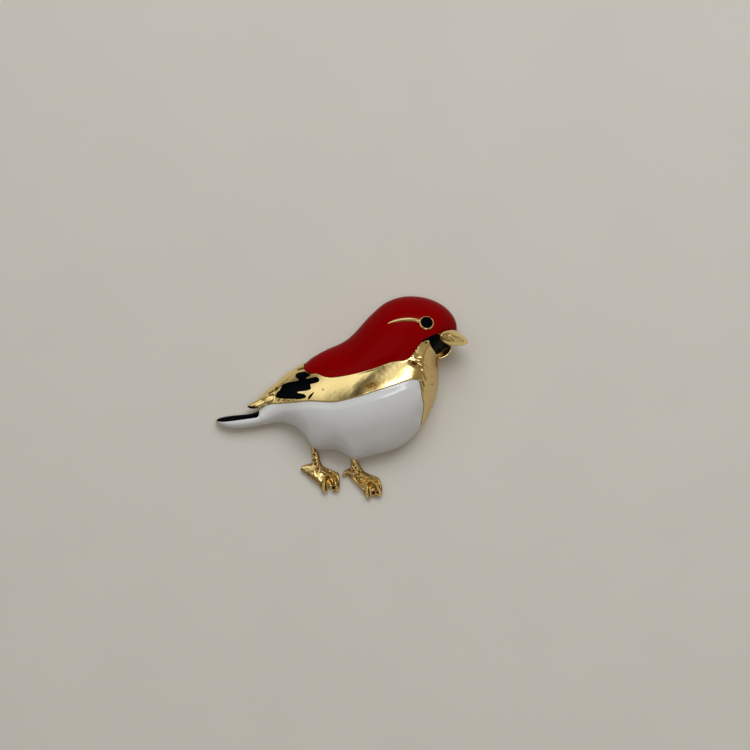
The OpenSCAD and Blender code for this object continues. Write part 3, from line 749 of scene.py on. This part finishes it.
def rounded(outline, steps=10):
    """Closed Catmull-Rom curve through an outline's points."""
    p = plan(outline)
    t = np.linspace(0, 1, steps, endpoint=False)[None, :, None]
    a, b, c, d = (np.roll(p, k, axis=0)[:, None, :] for k in (1, 0, -1, -2))
    q = .5 * (2 * b + (c - a) * t + (2 * a - 5 * b + 4 * c - d) * t ** 2 + (3 * b - a - 3 * c + d) * t ** 3)
    return q.reshape(-1, 2)


def is_within(p, ring):
    """Even-odd test of points against a closed ring."""
    a, b = ring, np.roll(ring, -1, axis=0)
    px, py = p[:, None, 0], p[:, None, 1]
    spans = (a[None, :, 1] > py) != (b[None, :, 1] > py)
    with np.errstate(divide="ignore", invalid="ignore"):
        at = a[None, :, 0] + (py - a[None, :, 1]) * (b - a)[None, :, 0] / (b - a)[None, :, 1]
    return (spans & (px < at)).sum(1) % 2 == 1


def filled(ring, spacing, insets):
    """Triangles that fill a ring, from its points, copies drawn in from it and a lattice inside."""
    if turned(ring, np.roll(ring, -1, axis=0)).sum() < 0:
        ring = ring[::-1]
    closed = np.vstack([ring, ring[:1]])
    tangent = unit(np.roll(ring, -1, axis=0) - np.roll(ring, 1, axis=0))
    inward = np.stack([-tangent[:, 1], tangent[:, 0]], axis=1)
    kept = []
    for d in insets:
        q = ring + inward * d
        kept.append(q[is_within(q, ring) & (from_line(q, closed) > d * .93)])
    low, high = ring.min(0), ring.max(0)
    x, y = np.meshgrid(np.arange(low[0], high[0], spacing), np.arange(low[1], high[1], spacing * .87))
    x = x + (np.arange(x.shape[0]) % 2)[:, None] * spacing / 2
    q = np.stack([x.ravel(), y.ravel()], axis=1)
    kept.append(q[is_within(q, ring) & (from_line(q, closed) > insets[-1] + spacing * .4)])
    every = np.vstack([ring, *kept])
    count = len(ring)
    edges = [(i, (i + 1) % count) for i in range(count)]
    out = delaunay_2d_cdt([Vector(v) for v in every.tolist()], edges, [list(range(count))], 1, 1e-6)
    points = np.array([v[:] for v in out[0]])
    return points, np.array(out[2]), count, from_line(points, closed)


def relaxed(z, triangles, rounds):
    """Heights evened out over a net of triangles: each goes to the mean of its own and its neighbours'."""
    a, b = triangles.ravel(), np.roll(triangles, 1, axis=1).ravel()
    count = np.bincount(a, minlength=len(z)) + np.bincount(b, minlength=len(z))
    for _ in range(rounds):
        total = np.bincount(a, z[b], len(z)) + np.bincount(b, z[a], len(z))
        z = (z + total / count) / 2
    return z


def patch(name, outline, span, top, thick, edge_r, finish, node, spacing=.11, floor=None):
    """Enamel patch of a rounded outline laid on the face: its surface rounds down at the edge. A floor, made
    of a height, a slope and a plan line, keeps it from dropping with the face there, and evens it out."""
    points, triangles, count, e = filled(rounded(outline), spacing, [edge_r * k for k in (.12, .3, .6, 1)])
    s, f = place_of(points, *span)
    edge = edge_r * EDGE_FALL * (1 - quarter(e, edge_r))
    if floor:
        least = floor[0] + floor[1] * from_line(points, plan(floor[2]))
        z = relaxed(least + above_zero(face(s, f)[:, 2] - least, .04), triangles, 60) + top - edge
        upper, lower = lifted(points, z), lifted(points, z - thick)
    else:
        upper, lower = over(s, f, top - edge), over(s, f, np.full(len(s), top - thick))
    plate(name, upper, lower, triangles, count, finish, node, sharp=60)


def closed_ends(q, *values):
    """Rings of a tube and values of their points, with one more ring at each end, drawn to a point."""
    wide = np.ones((1, q.shape[1], 1))
    first, last = q[:1].mean(1, keepdims=True) * wide, q[-1:].mean(1, keepdims=True) * wide
    return [np.concatenate([first, q, last]), *(np.concatenate([v[:1], v, v[-1:]]) for v in values)]


def across_rails(c, v):
    """Plan points between a table's two rails, at the shares v of the way across."""
    a, b = plan(c[:, None, 0:2]), plan(c[:, None, 2:4])
    return a + (b - a) * v[:, None]


def beak(gold):
    """Loft of ovals from the cheek to the tip, with a raised oval ring, a nostril and a bead at its root."""
    c = sampled(BEAK, 150)
    half = BEAK_T * c[:, None, 5] / 2
    turn = circle(120)
    p = across_rails(c, (1 - np.cos(turn)) / 2)
    z = BEAK_TOP * c[:, None, 4] - half + half * np.sin(turn)
    up = np.clip(np.sin(turn), 0, 1) ** .5
    t = np.linspace(0, 2 * np.pi, 41)
    u, v = 1.25 * np.cos(t), .42 * np.sin(t)
    c, s = np.cos(np.radians(-27)), np.sin(np.radians(-27))
    loop = plan([.4535, .2925]) + np.stack([u * c - v * s, u * s + v * c], axis=1)
    bulge = spot(p, plan([.393, .307]), .5, .48, 0)
    nostril = spot(p, plan([.393, .289]), .26, .12, -30)
    rise = .13 * streak(p, loop, .13) + .24 * bulge - .2 * nostril + .002 * swell(p, 1.2, 12)
    # Painted shade darkens the nostril's pit.
    soil_and_painted_shade = np.clip(nostril * up * 1.3, 0, 1)
    shine = .5 - .45 * np.clip(bulge * 1.4, 0, 1)
    q, soil_and_painted_shade, shine = closed_ends(lifted(p, z + rise * up), soil_and_painted_shade, shine)
    loft("beak", q, gold, "casting", dirt=soil_and_painted_shade, satin=shine, sharp=70)


def along_path(path, radius, sides, flat):
    """Tube of flattened ovals round a smooth path. radius has a value for each point of the path."""
    tangent = unit(np.gradient(path, axis=0))
    side = unit(np.cross(tangent, [0, 0, 1]))
    up = np.cross(side, tangent)
    turn = circle(sides)[:, None]
    ring = side[:, None, :] * np.cos(turn) + up[:, None, :] * (flat * np.sin(turn))
    return path[:, None, :] + ring * radius[:, None, None]


def capped(path, radius, count=8):
    """A path and its radii with round ends added, as quarter circles."""
    a = np.linspace(0, np.pi / 2, count, endpoint=False)
    start = path[0] + unit(path[0] - path[1]) * (radius[0] * np.cos(a))[:, None]
    stop = path[-1] + unit(path[-1] - path[-2]) * (radius[-1] * np.cos(a))[::-1, None]
    r0, r1 = radius[0] * np.sin(a), (radius[-1] * np.sin(a))[::-1]
    return np.vstack([start, path, stop]), np.maximum(np.concatenate([r0, radius, r1]), 1e-3)


def brow(gold):
    """Tapered half-round bar along the brow's line, which sinks into the enamel."""
    c = sampled(BROW, 60)
    s, f = place_of(plan(c), 14, 27)
    path, r = capped(over(s, f, -.1 + .08 * c[:, 2]), c[:, 2] * BROW_W / 2)
    loft("brow", along_path(path, r, 24, flat=.75), gold, "casting", sharp=80)


def eye(gold, black):
    """Gold ring turned about the eye's axis, the bead beside it, and the domed black disc in it."""
    s, f = place_of(plan([EYE]), 20, 30)
    middle, n = face(s, f)[0], outward(s, f)[0]
    x = unit(np.cross([0, 1, 0], n))
    y = np.cross(n, x)

    def placed(u, v, h):
        """Points at the distances u and v from the eye's middle and the height h over the face."""
        u, v, h = (k[..., None] for k in np.broadcast_arrays(u, v, h))
        return middle + x * u + y * v + n * h

    turn, tube = circle(96), circle(20)
    thick = (RING_W * (1 + .38 * np.cos(turn - np.radians(235)) + .06 * np.sin(3 * turn)))[:, None]
    radius = EYE_ROOM / 2 + thick / 2 + thick / 2 * np.cos(tube)
    h = .005 + .165 * np.sin(tube) - np.where(np.sin(tube) < 0, .35, 0)
    q = placed(radius * np.cos(turn)[:, None], radius * np.sin(turn)[:, None], h)
    loft("eye_ring", np.concatenate([q, q[:1]]), gold, "casting", sharp=70)
    up = np.linspace(-np.pi / 2, np.pi / 2, 13)[:, None]
    side, out = circle(24), BEAD_R * np.cos(up)
    u, v, h = BEAD
    q = placed(u + out * np.cos(side), v + out * np.sin(side), h + BEAD_R * np.sin(up))
    loft("eye_bead", q, gold, "casting", sharp=70)
    r = np.sin(np.linspace(0, np.pi / 2, 26)) * (EYE_ROOM / 2 + .02)
    ball = (EYE_ROOM ** 2 / 4 + EYE_RISE ** 2) / (2 * EYE_RISE)
    h = np.sqrt(ball ** 2 - np.minimum(r, ball) ** 2) - (ball - EYE_RISE) - .03
    r, h = np.append(r, [r[-1], 0])[:, None], np.append(h, [-.3, -.3])[:, None]
    loft("eye_dome", placed(r * np.cos(turn), r * np.sin(turn), h), black, "eye_enamel", sharp=50)


LIP_RIM = np.array([[.376, .196], [.388, .194], [.405, .2], [.419, .211], [.43, .229], [.434, .247],
                    [.43, .257], [.42, .262]])
LIP_TOP = 1.9


def throat_lip(gold):
    """Curved wall round the hollow under the throat, and the floor behind it, darkened with painted shade."""
    path = plan(sampled(LIP_RIM, 60))
    tangent = unit(np.gradient(path, axis=0))
    outside = np.stack([tangent[:, 1], -tangent[:, 0]], axis=1)
    half, foot, floor = .14, .3, .85
    a = np.linspace(0, np.pi, 9)[1:-1]
    shoulder = LIP_TOP - half
    off = np.concatenate([[half, half], half * np.cos(a), [-half, -half]])
    z = np.concatenate([[foot, shoulder], shoulder + half * np.sin(a), [shoulder, foot]])
    p = path[:, None, :] + outside[:, None, :] * off[:, None]
    loft("throat_lip", lifted(p, z), gold, "casting", caps=True, sharp=60)
    ring = np.vstack([path[::3], plan([[.395, .235], [.372, .205]])])
    points, triangles, count, _e = filled(ring, .2, [.1])
    top = lifted(points, floor + .05 * swell(points, 1.0, 5))
    # Painted shade on the floor: near-black, and amber towards the left.
    soil_and_painted_shade = 1 - .6 * ease(-points[:, 0] / LENGTH, -.405, -.392)
    plate("throat_floor", top, lifted(points, foot), triangles, count, gold, "casting",
          dirt=np.tile(soil_and_painted_shade, 2), sharp=60)


# Free end of the wing. Columns: X and Y on its upper rail, X and Y on its lower rail, and its top's height.
WING_TIP = np.array([
    [-.3772, -.0425, -.3764, -.0459, 1.62], [-.3665, -.0326, -.3684, -.0558, 1.95],
    [-.3466, -.0202, -.3426, -.0573, 2.2], [-.327, .001, -.3168, -.0459, 2.4],
    [-.3075, .0245, -.3009, -.037, 2.75], [-.288, .048, -.283, -.0326, 3.0],
    [-.268, .0675, -.2591, -.0232, 3.2], [-.244, .089, -.2313, .0064, 3.2],
])
TIP_EDGE_Z = 1.5
TIP_CLIMB = 0.42
TIP_ROLL = 0.22


def wing_tip(gold):
    """Free end of the wing between two rails. From the upper rail it climbs to a ridge by a quarter circle,
    lies flat and rounds down to the lower rail. Its height is a smooth greater of its own and the body's."""
    c, turn = sampled(WING_TIP, 180), circle(180)
    v = (1 - np.cos(turn)) / 2
    p = across_rails(c, v)
    x = p[..., 0] / LENGTH
    is_top = np.sin(turn) > 1e-6
    up = np.where(is_top, quarter(v, TIP_CLIMB) * quarter(1 - v, TIP_ROLL), 0)
    down = np.clip(-np.sin(turn), 0, 1)
    s, f = place_of(p.reshape(-1, 2), 2.5, 9)
    body = face(s, f)[:, 2].reshape(p.shape[:2])
    edge = TIP_EDGE_Z - .62 * ease(x, -.3, -.246)
    gap = edge + (c[:, None, 4] - edge) * up - 1.3 * ease(x, -.268, -.236) - body
    soft = .2 * up * (1 - ease(x, -.286, -.264)) + .002
    rise, dirt = relief(p)
    fold = streak(p, plan([[-.373, -.048], [-.362, -.0525], [-.348, -.0505]]), .15)
    lit = up > .2
    upper = body + above_zero(gap, soft) + np.where(lit, rise - .5 * fold, 0)
    z = np.where(is_top, upper, edge - .45 * down)
    # Painted shade darkens the fold at the curl, besides the marks' own darkening.
    soil_and_painted_shade = np.where(lit, np.maximum(dirt, 1.1 * fold), 0)
    q, soil_and_painted_shade = closed_ends(lifted(p, z), soil_and_painted_shade)
    loft("wing_tip", q, gold, "casting", dirt=soil_and_painted_shade, sharp=80)


# Outlines of the two legs with their feet, from under the belly round the toes and back. Columns: X and Y.
REAR_LEG = np.array([
    [-.127, -.222], [-.1262, -.241], [-.1225, -.2485], [-.124, -.258], [-.1204, -.266], [-.1222, -.276],
    [-.1184, -.285], [-.1208, -.295], [-.1172, -.3045], [-.12, -.315], [-.1212, -.325], [-.1423, -.3325],
    [-.1574, -.3395], [-.1642, -.3511], [-.1614, -.365], [-.1534, -.3709], [-.1439, -.3778], [-.1308, -.3936],
    [-.1061, -.4173], [-.0882, -.44], [-.0819, -.4543], [-.0779, -.4667], [-.0684, -.4725], [-.0588, -.4667],
    [-.0552, -.4509], [-.0529, -.441], [-.0461, -.443], [-.0421, -.4568], [-.0326, -.4655], [-.0199, -.4665],
    [-.0115, -.4528], [-.0099, -.4281], [-.0107, -.396], [-.0135, -.3768], [-.0238, -.369], [-.0465, -.3575],
    [-.0664, -.347], [-.0779, -.337], [-.0855, -.3195], [-.0898, -.2973], [-.0962, -.2726], [-.1081, -.2484],
    [-.115, -.225],
])
FRONT_LEG = np.array([
    [.0346, -.3], [.035, -.32], [.0375, -.329], [.0345, -.338], [.0362, -.346], [.0318, -.3521],
    [.0223, -.355], [.0111, -.3625], [.004, -.3748], [.0004, -.3901], [.0044, -.3921], [.0127, -.3852],
    [.0215, -.3832], [.0282, -.3931], [.039, -.4064], [.0533, -.4242], [.07, -.4474], [.0851, -.4696],
    [.0918, -.4844], [.0962, -.496], [.1049, -.5005], [.1137, -.496], [.1169, -.4825], [.1208, -.4844],
    [.1296, -.4874], [.1407, -.4894], [.151, -.49], [.157, -.4795], [.1594, -.4578], [.1578, -.4351],
    [.1518, -.4128], [.1439, -.3975], [.1264, -.3885], [.1085, -.3805], [.0926, -.3705], [.0811, -.3565],
    [.0723, -.339], [.0645, -.3215], [.061, -.302],
])
# Raised lines on the legs. Columns of a line: X and Y along it; then width and height.
REAR_RIDGES = [
    ([[-.0823, -.3615], [-.0644, -.3758], [-.0465, -.3886], [-.034, -.4035], [-.026, -.4257],
     [-.0205, -.4528]], .32, .52),
    ([[-.0763, -.3432], [-.0465, -.36], [-.0183, -.377], [-.014, -.3985], [-.0135, -.438]], .2, .3),
    ([[-.0715, -.406], [-.0715, -.4331], [-.069, -.4627]], .32, .52),
    ([[-.095, -.408], [-.085, -.375]], 1.05, .34), ([[-.112, -.35], [-.111, -.385]], .95, .4),
    ([[-.1216, -.2356], [-.105, -.2701], [-.099, -.3096], [-.094, -.3393]], .5, .26),
    ([[-.115, -.2691], [-.113, -.27]], .22, .5), ([[-.114, -.2983], [-.111, -.299]], .22, .5),
    ([[-.113, -.3195], [-.11, -.32]], .2, .5), ([[-.1038, -.3393], [-.1018, -.34]], .2, .46),
    ([[-.118, -.24], [-.117, -.241]], .2, .26),
]
FRONT_RIDGES = [
    ([[.0028, -.3867], [.0083, -.374], [.0191, -.3655], [.0318, -.371], [.0429, -.3837]], .26, .36),
    ([[.043, -.3975], [.062, -.4257], [.08, -.4489], [.0906, -.4677]], .24, .28),
    ([[.0847, -.4157], [.0985, -.443], [.1012, -.4677], [.1043, -.4948]], .32, .52),
    ([[.0767, -.3763], [.1006, -.3985], [.1204, -.4153], [.1345, -.4321], [.1443, -.4578],
     [.1485, -.4825]], .32, .52),
    ([[.0886, -.3728], [.1184, -.3896], [.1413, -.4035], [.1524, -.4232], [.1564, -.4479]], .2, .32),
    ([[.052, -.3096], [.059, -.3393], [.069, -.364]], .55, .24), ([[.0393, -.3432], [.04, -.3435]], .22, .4),
    ([[.0509, -.324], [.0515, -.3242]], .2, .34), ([[.059, -.3383], [.0596, -.3385]], .2, .36),
    ([[.061, -.3585], [.0616, -.3587]], .2, .36), ([[.0509, -.3748], [.052, -.3752]], .26, .4),
]
# Sunk lines on the legs. Columns of a line: X and Y along it; then width, depth and how much it darkens the
# gold, which is painted shadow in the gaps and slots between the toes.
REAR_HOLLOWS = [
    ([[-.05, -.37], [-.03, -.386], [-.0195, -.41], [-.0165, -.43]], .13, .18, .16),
    ([[-.058, -.398], [-.048, -.4153], [-.043, -.4331]], .24, .2, 0),
    ([[-.0362, -.4475], [-.0355, -.4482]], .25, .5, 1.3), ([[-.0648, -.4306], [-.0644, -.4602]], .1, .3, 1.1),
    ([[-.1618, -.359], [-.1518, -.3605]], .12, .18, .6), ([[-.1339, -.378], [-.133, -.379]], .1, .12, .7),
    ([[-.12, -.37], [-.118, -.371]], .16, .1, .2), ([[-.1121, -.2523], [-.1117, -.2526]], .14, .34, 1.2),
    ([[-.1101, -.2854], [-.1097, -.2857]], .15, .36, 1.2),
    ([[-.1089, -.3101], [-.1085, -.3104]], .14, .36, 1.2),
    ([[-.1069, -.3289], [-.1065, -.3292]], .14, .36, 1.2),
    ([[-.0966, -.3506], [-.0962, -.3509]], .15, .36, 1.2), ([[-.142, -.356], [-.14, -.357]], .15, .1, .1),
]
FRONT_HOLLOWS = [
    ([[.0211, -.3778], [.033, -.3877]], .16, .25, .8),
    ([[.1065, -.3877], [.1294, -.4054], [.1473, -.4306], [.15, -.45]], .13, .18, .16),
    ([[.0558, -.3985], [.074, -.4256]], .2, .18, .4), ([[.1085, -.429], [.1204, -.448]], .17, .24, .5),
    ([[.1236, -.473], [.124, -.4742]], .24, .5, 1.3), ([[.1395, -.4702], [.1398, -.4712]], .19, .5, 1.3),
    ([[.1061, -.4553], [.1077, -.4899]], .09, .3, 1.1), ([[.0688, -.3679], [.0692, -.3684]], .15, .34, 1.2),
    ([[.0366, -.3274], [.037, -.3277]], .12, .28, 1.1), ([[.0461, -.335], [.0465, -.3353]], .12, .28, 1),
    ([[.053, -.3491], [.0534, -.3494]], .13, .3, 1.1), ([[.0449, -.3615], [.0453, -.3618]], .13, .3, .9),
    ([[.064, -.3812], [.0644, -.3815]], .13, .26, .9), ([[.015, -.374], [.017, -.376]], .1, .1, .5),
]
LEG_Z = 0.5
LEG_ROUND = 0.75
LEG_POLISH = 0.85


def leg(name, outline, ridges, hollows, gold):
    """Leg and foot cast in one: over and under a middle plane, a height times a quarter circle of the
    distance to the outline. Height = level + ridges - hollows, Gaussians joined by their fourth powers."""
    points, triangles, count, e = filled(rounded(outline, 8), .05, [.02, .05, .09, .14, .2, .27])
    up, down, dirt = np.zeros((3, len(points)))
    for line, width, rise in ridges:
        up = up + (rise * streak(points, plan(line), width)) ** 4
    for line, width, depth, soil_and_painted_shade in hollows:
        mark = streak(points, plan(line), width)
        down = down + (depth * mark) ** 4
        dirt = np.maximum(dirt, np.minimum(1, soil_and_painted_shade * mark))
    dome = quarter(e, LEG_ROUND)
    level = .3 + .012 * swell(points, 1.5, 21)
    high = relaxed((level + up ** .25 - down ** .25) * dome, triangles, 11)
    # Painted shade: a little all over the foot, and more in crevices, by how far each point lies under its
    # smoothed surroundings.
    crevice_shade = np.clip((relaxed(high, triangles, 90) - high) / .1, 0, 1)
    dirt = np.maximum(dirt, .07 + .38 * crevice_shade)
    satin = .8 * spot(points, plan([-.131, -.36]), 1.0, .8, 0)
    upper, lower = lifted(points, LEG_Z + np.maximum(high, -.2)), lifted(points, LEG_Z - .04 - .4 * dome)
    plate(name, upper, lower, triangles, count, gold, "casting", dirt=np.append(dirt, 0 * dirt),
          satin=np.tile(satin, 2), polish=np.full(2 * len(points), LEG_POLISH), sharp=80)


def bridge(gold):
    """Flat bar with rounded corners across the hollow."""
    half_w, thick, z0, r = 1.6, .9, 2.0, .18
    x0, x1, y = -.145 * LENGTH, .35 * LENGTH, .035 * HEIGHT
    quarter_turn = np.linspace(0, np.pi / 2, 6)
    angle = np.concatenate([quarter_turn + k * np.pi / 2 for k in range(4)])
    u = np.repeat([1, -1, -1, 1], 6) * (half_w - r) + r * np.cos(angle)
    v = np.repeat([1, 1, -1, -1], 6) * (thick / 2 - r) + r * np.sin(angle)
    q = np.stack(np.broadcast_arrays(np.linspace(x0, x1, 40)[:, None], y + u, z0 + thick / 2 + v), axis=-1)
    loft("bridge", q, gold, "casting", caps=True, sharp=50)


def camera_and_floor():
    """Camera straight above, with the photograph's framing, and a plain pale floor."""
    side = PHOTO_SIDE / PIXELS_PER_MM * MM
    far, sensor, reach = .62, 36, 1.5
    data = bpy.data.cameras.new("camera")
    data.sensor_width = sensor
    data.lens = sensor * far / side
    data.clip_end = 20
    camera = linked("camera", data)
    x = (PHOTO_SIDE / 2 - PHOTO_CENTRE[0]) / PIXELS_PER_MM * MM
    y = (PHOTO_CENTRE[1] - PHOTO_SIDE / 2) / PIXELS_PER_MM * MM
    camera.location = (x, y, far + RIM_H * MM)
    bpy.context.scene.camera = camera
    mesh = bpy.data.meshes.new("floor")
    corners = [(-reach, -reach, 0), (reach, -reach, 0), (reach, reach, 0), (-reach, reach, 0)]
    mesh.from_pydata(corners, [], [(0, 1, 2, 3)])
    mesh.materials.append(pale_floor())
    linked("floor", mesh)


def soft_box(name, place, aim, width, height, power, colour=(1, 1, 1), mirrored=False):
    """Rectangular light that points at a place on the brooch, and which shiny surfaces may mirror."""
    data = bpy.data.lights.new(name, "AREA")
    data.shape = "RECTANGLE"
    data.size, data.size_y, data.energy, data.color = width, height, power, colour
    made = linked(name, data)
    made.location = place
    made.rotation_euler = (Vector(aim) - Vector(place)).to_track_quat("-Z", "Y").to_euler()
    made.visible_glossy = mirrored


# Bright patches of the sky. Columns: azimuth, elevation, the angles from its middle up to which it is full
# and at which it ends, all in degrees, and strength. The dark card has no strength.
SKY_PATCHES = [
    (150, 50, 12, 30, .88), (95, 84, 3, 11, .95), (-55, 78, 2, 11, .75), (102, 30, 7, 18, 1),
    (-20, 8, 8, 24, .55),
]
DARK_CARD = (168, 74, 9.2, 12.4)


def daylight():
    """Soft sky, brighter towards the upper left and straight above, with a dark card between the two, one
    large weak window above the crown and one small lamp. Each patch is a smooth step of the cosine of the
    angle to its middle."""
    world = bpy.data.worlds.new("sky")
    bpy.context.scene.world = world
    world.use_nodes = True
    world.node_tree.nodes.clear()
    w = Wire(world.node_tree)
    where = w.node("TexCoord", output=0)

    def smooth(value, start, stop, low=0, high=1):
        return w.node("MapRange", {"interpolation_type": "SMOOTHSTEP"},
                      {"Value": value, "From Min": start, "From Max": stop, "To Min": low, "To Max": high})

    def patch_of_sky(azimuth, elevation, inner, outer):
        a, e = np.radians(azimuth), np.radians(elevation)
        middle = (np.cos(e) * np.cos(a), np.cos(e) * np.sin(a), np.sin(e))
        near = w.node("VectorMath", {"operation": "DOT_PRODUCT"}, {0: where, 1: middle}, output=1)
        return smooth(near, np.cos(np.radians(outer)), np.cos(np.radians(inner)))

    north, height = (w.node("SeparateXYZ", {}, {"Vector": where}, output=k) for k in (1, 2))
    base = smooth(north, -.75, .75, .2, .3) * smooth(height, .02, .45, .28, 1.0)
    patches = sum(patch_of_sky(*place) * strength for *place, strength in SKY_PATCHES)
    sky = (base + patches) * (1 - patch_of_sky(*DARK_CARD) * .95)
    tint = w.blend((patches * 1.6).clamp(), (1, .84, .6), (.97, .985, 1))
    w.node("OutputWorld", {}, {"Surface": w.node("Background", {}, {"Color": tint, "Strength": sky})})
    soft_box("window", (.09, .38, .42), (0, 0, 0), .5, .3, 2.25, (.98, .99, 1))
    soft_box("small_lamp", (.095, -.113, .515), (.01, 0, 0), .135, .135, .27, mirrored=True)


def view_colours():
    """Plain display colours, without a film curve."""
    settings = bpy.context.scene.view_settings
    settings.view_transform = "Standard"
    settings.look = "None"
    settings.exposure = 0
    settings.gamma = 1


def build():
    """Makes the pieces, one after the other."""
    gold = gold_plate()
    red = enamel("red_enamel", (.178, .0002, .0006), (.195, .0003, .0008), .06, .006, (1, .12, .12), .045)
    white = enamel("white_enamel", (.585, .6, .615), (.625, .64, .655), .08, .5, (1, 1, 1))
    black = enamel("black_enamel", (.0006, .0009, .0016), (.0012, .0017, .0028), .07, .006, (.6, .8, 1), .03)
    casting_shell(gold)
    s = edge_rows(RED_SPAN[0] + START_IN, RED_SPAN[1] - STOP_IN, ROW_STEP)
    glaze("red_glaze", s, red_share(s), 0 * s + 1 - .3 * EDGE, 90, .09, red, "red_enamel", open_high=True)
    s = edge_rows(WHITE_SPAN[0] + START_IN, WHITE_SPAN[1] - STOP_IN, ROW_STEP)
    low = np.where(s < CHEST_START, 0, chest_share(s))
    glaze("white_glaze", s, low, white_share(s), 90, .1, white, "white_enamel", open_low=CHEST_START,
          tail_r=.05)
    s = edge_rows(STRIPE_SPAN[0] + STOP_IN, STRIPE_SPAN[1], ROW_STEP / 2)
    glaze("tail_stripe", s, stripe_share(s), 0 * s + 1 - EDGE, 30, 0, black, "tail_enamel", edge_r=.05,
          open_high=True)
    patch("wing_strokes", STROKES, (4.5, 13), .035, ENAMEL_T, .17, black, "wing_enamel")
    patch("wing_sliver", SLIVER, (6, 13), .03, .35, .1, black, "wing_enamel", spacing=.08)
    patch("bib", BIB, (19.5, 30.6), .02, ENAMEL_T, .16, black, "bib_enamel",
          floor=(2.45, .8, [[.365, .215], [.397, .228], [.424, .255]]))
    beak(gold)
    brow(gold)
    eye(gold, black)
    throat_lip(gold)
    wing_tip(gold)
    leg("rear_leg", REAR_LEG, REAR_RIDGES, REAR_HOLLOWS, gold)
    leg("front_leg", FRONT_LEG, FRONT_RIDGES, FRONT_HOLLOWS, gold)
    bridge(gold)
    pin = frame["nodes"]["pin_fitting"]
    pin.data.materials.clear()
    pin.data.materials.append(pin_metal())


camera_and_floor()
daylight()
view_colours()
build()
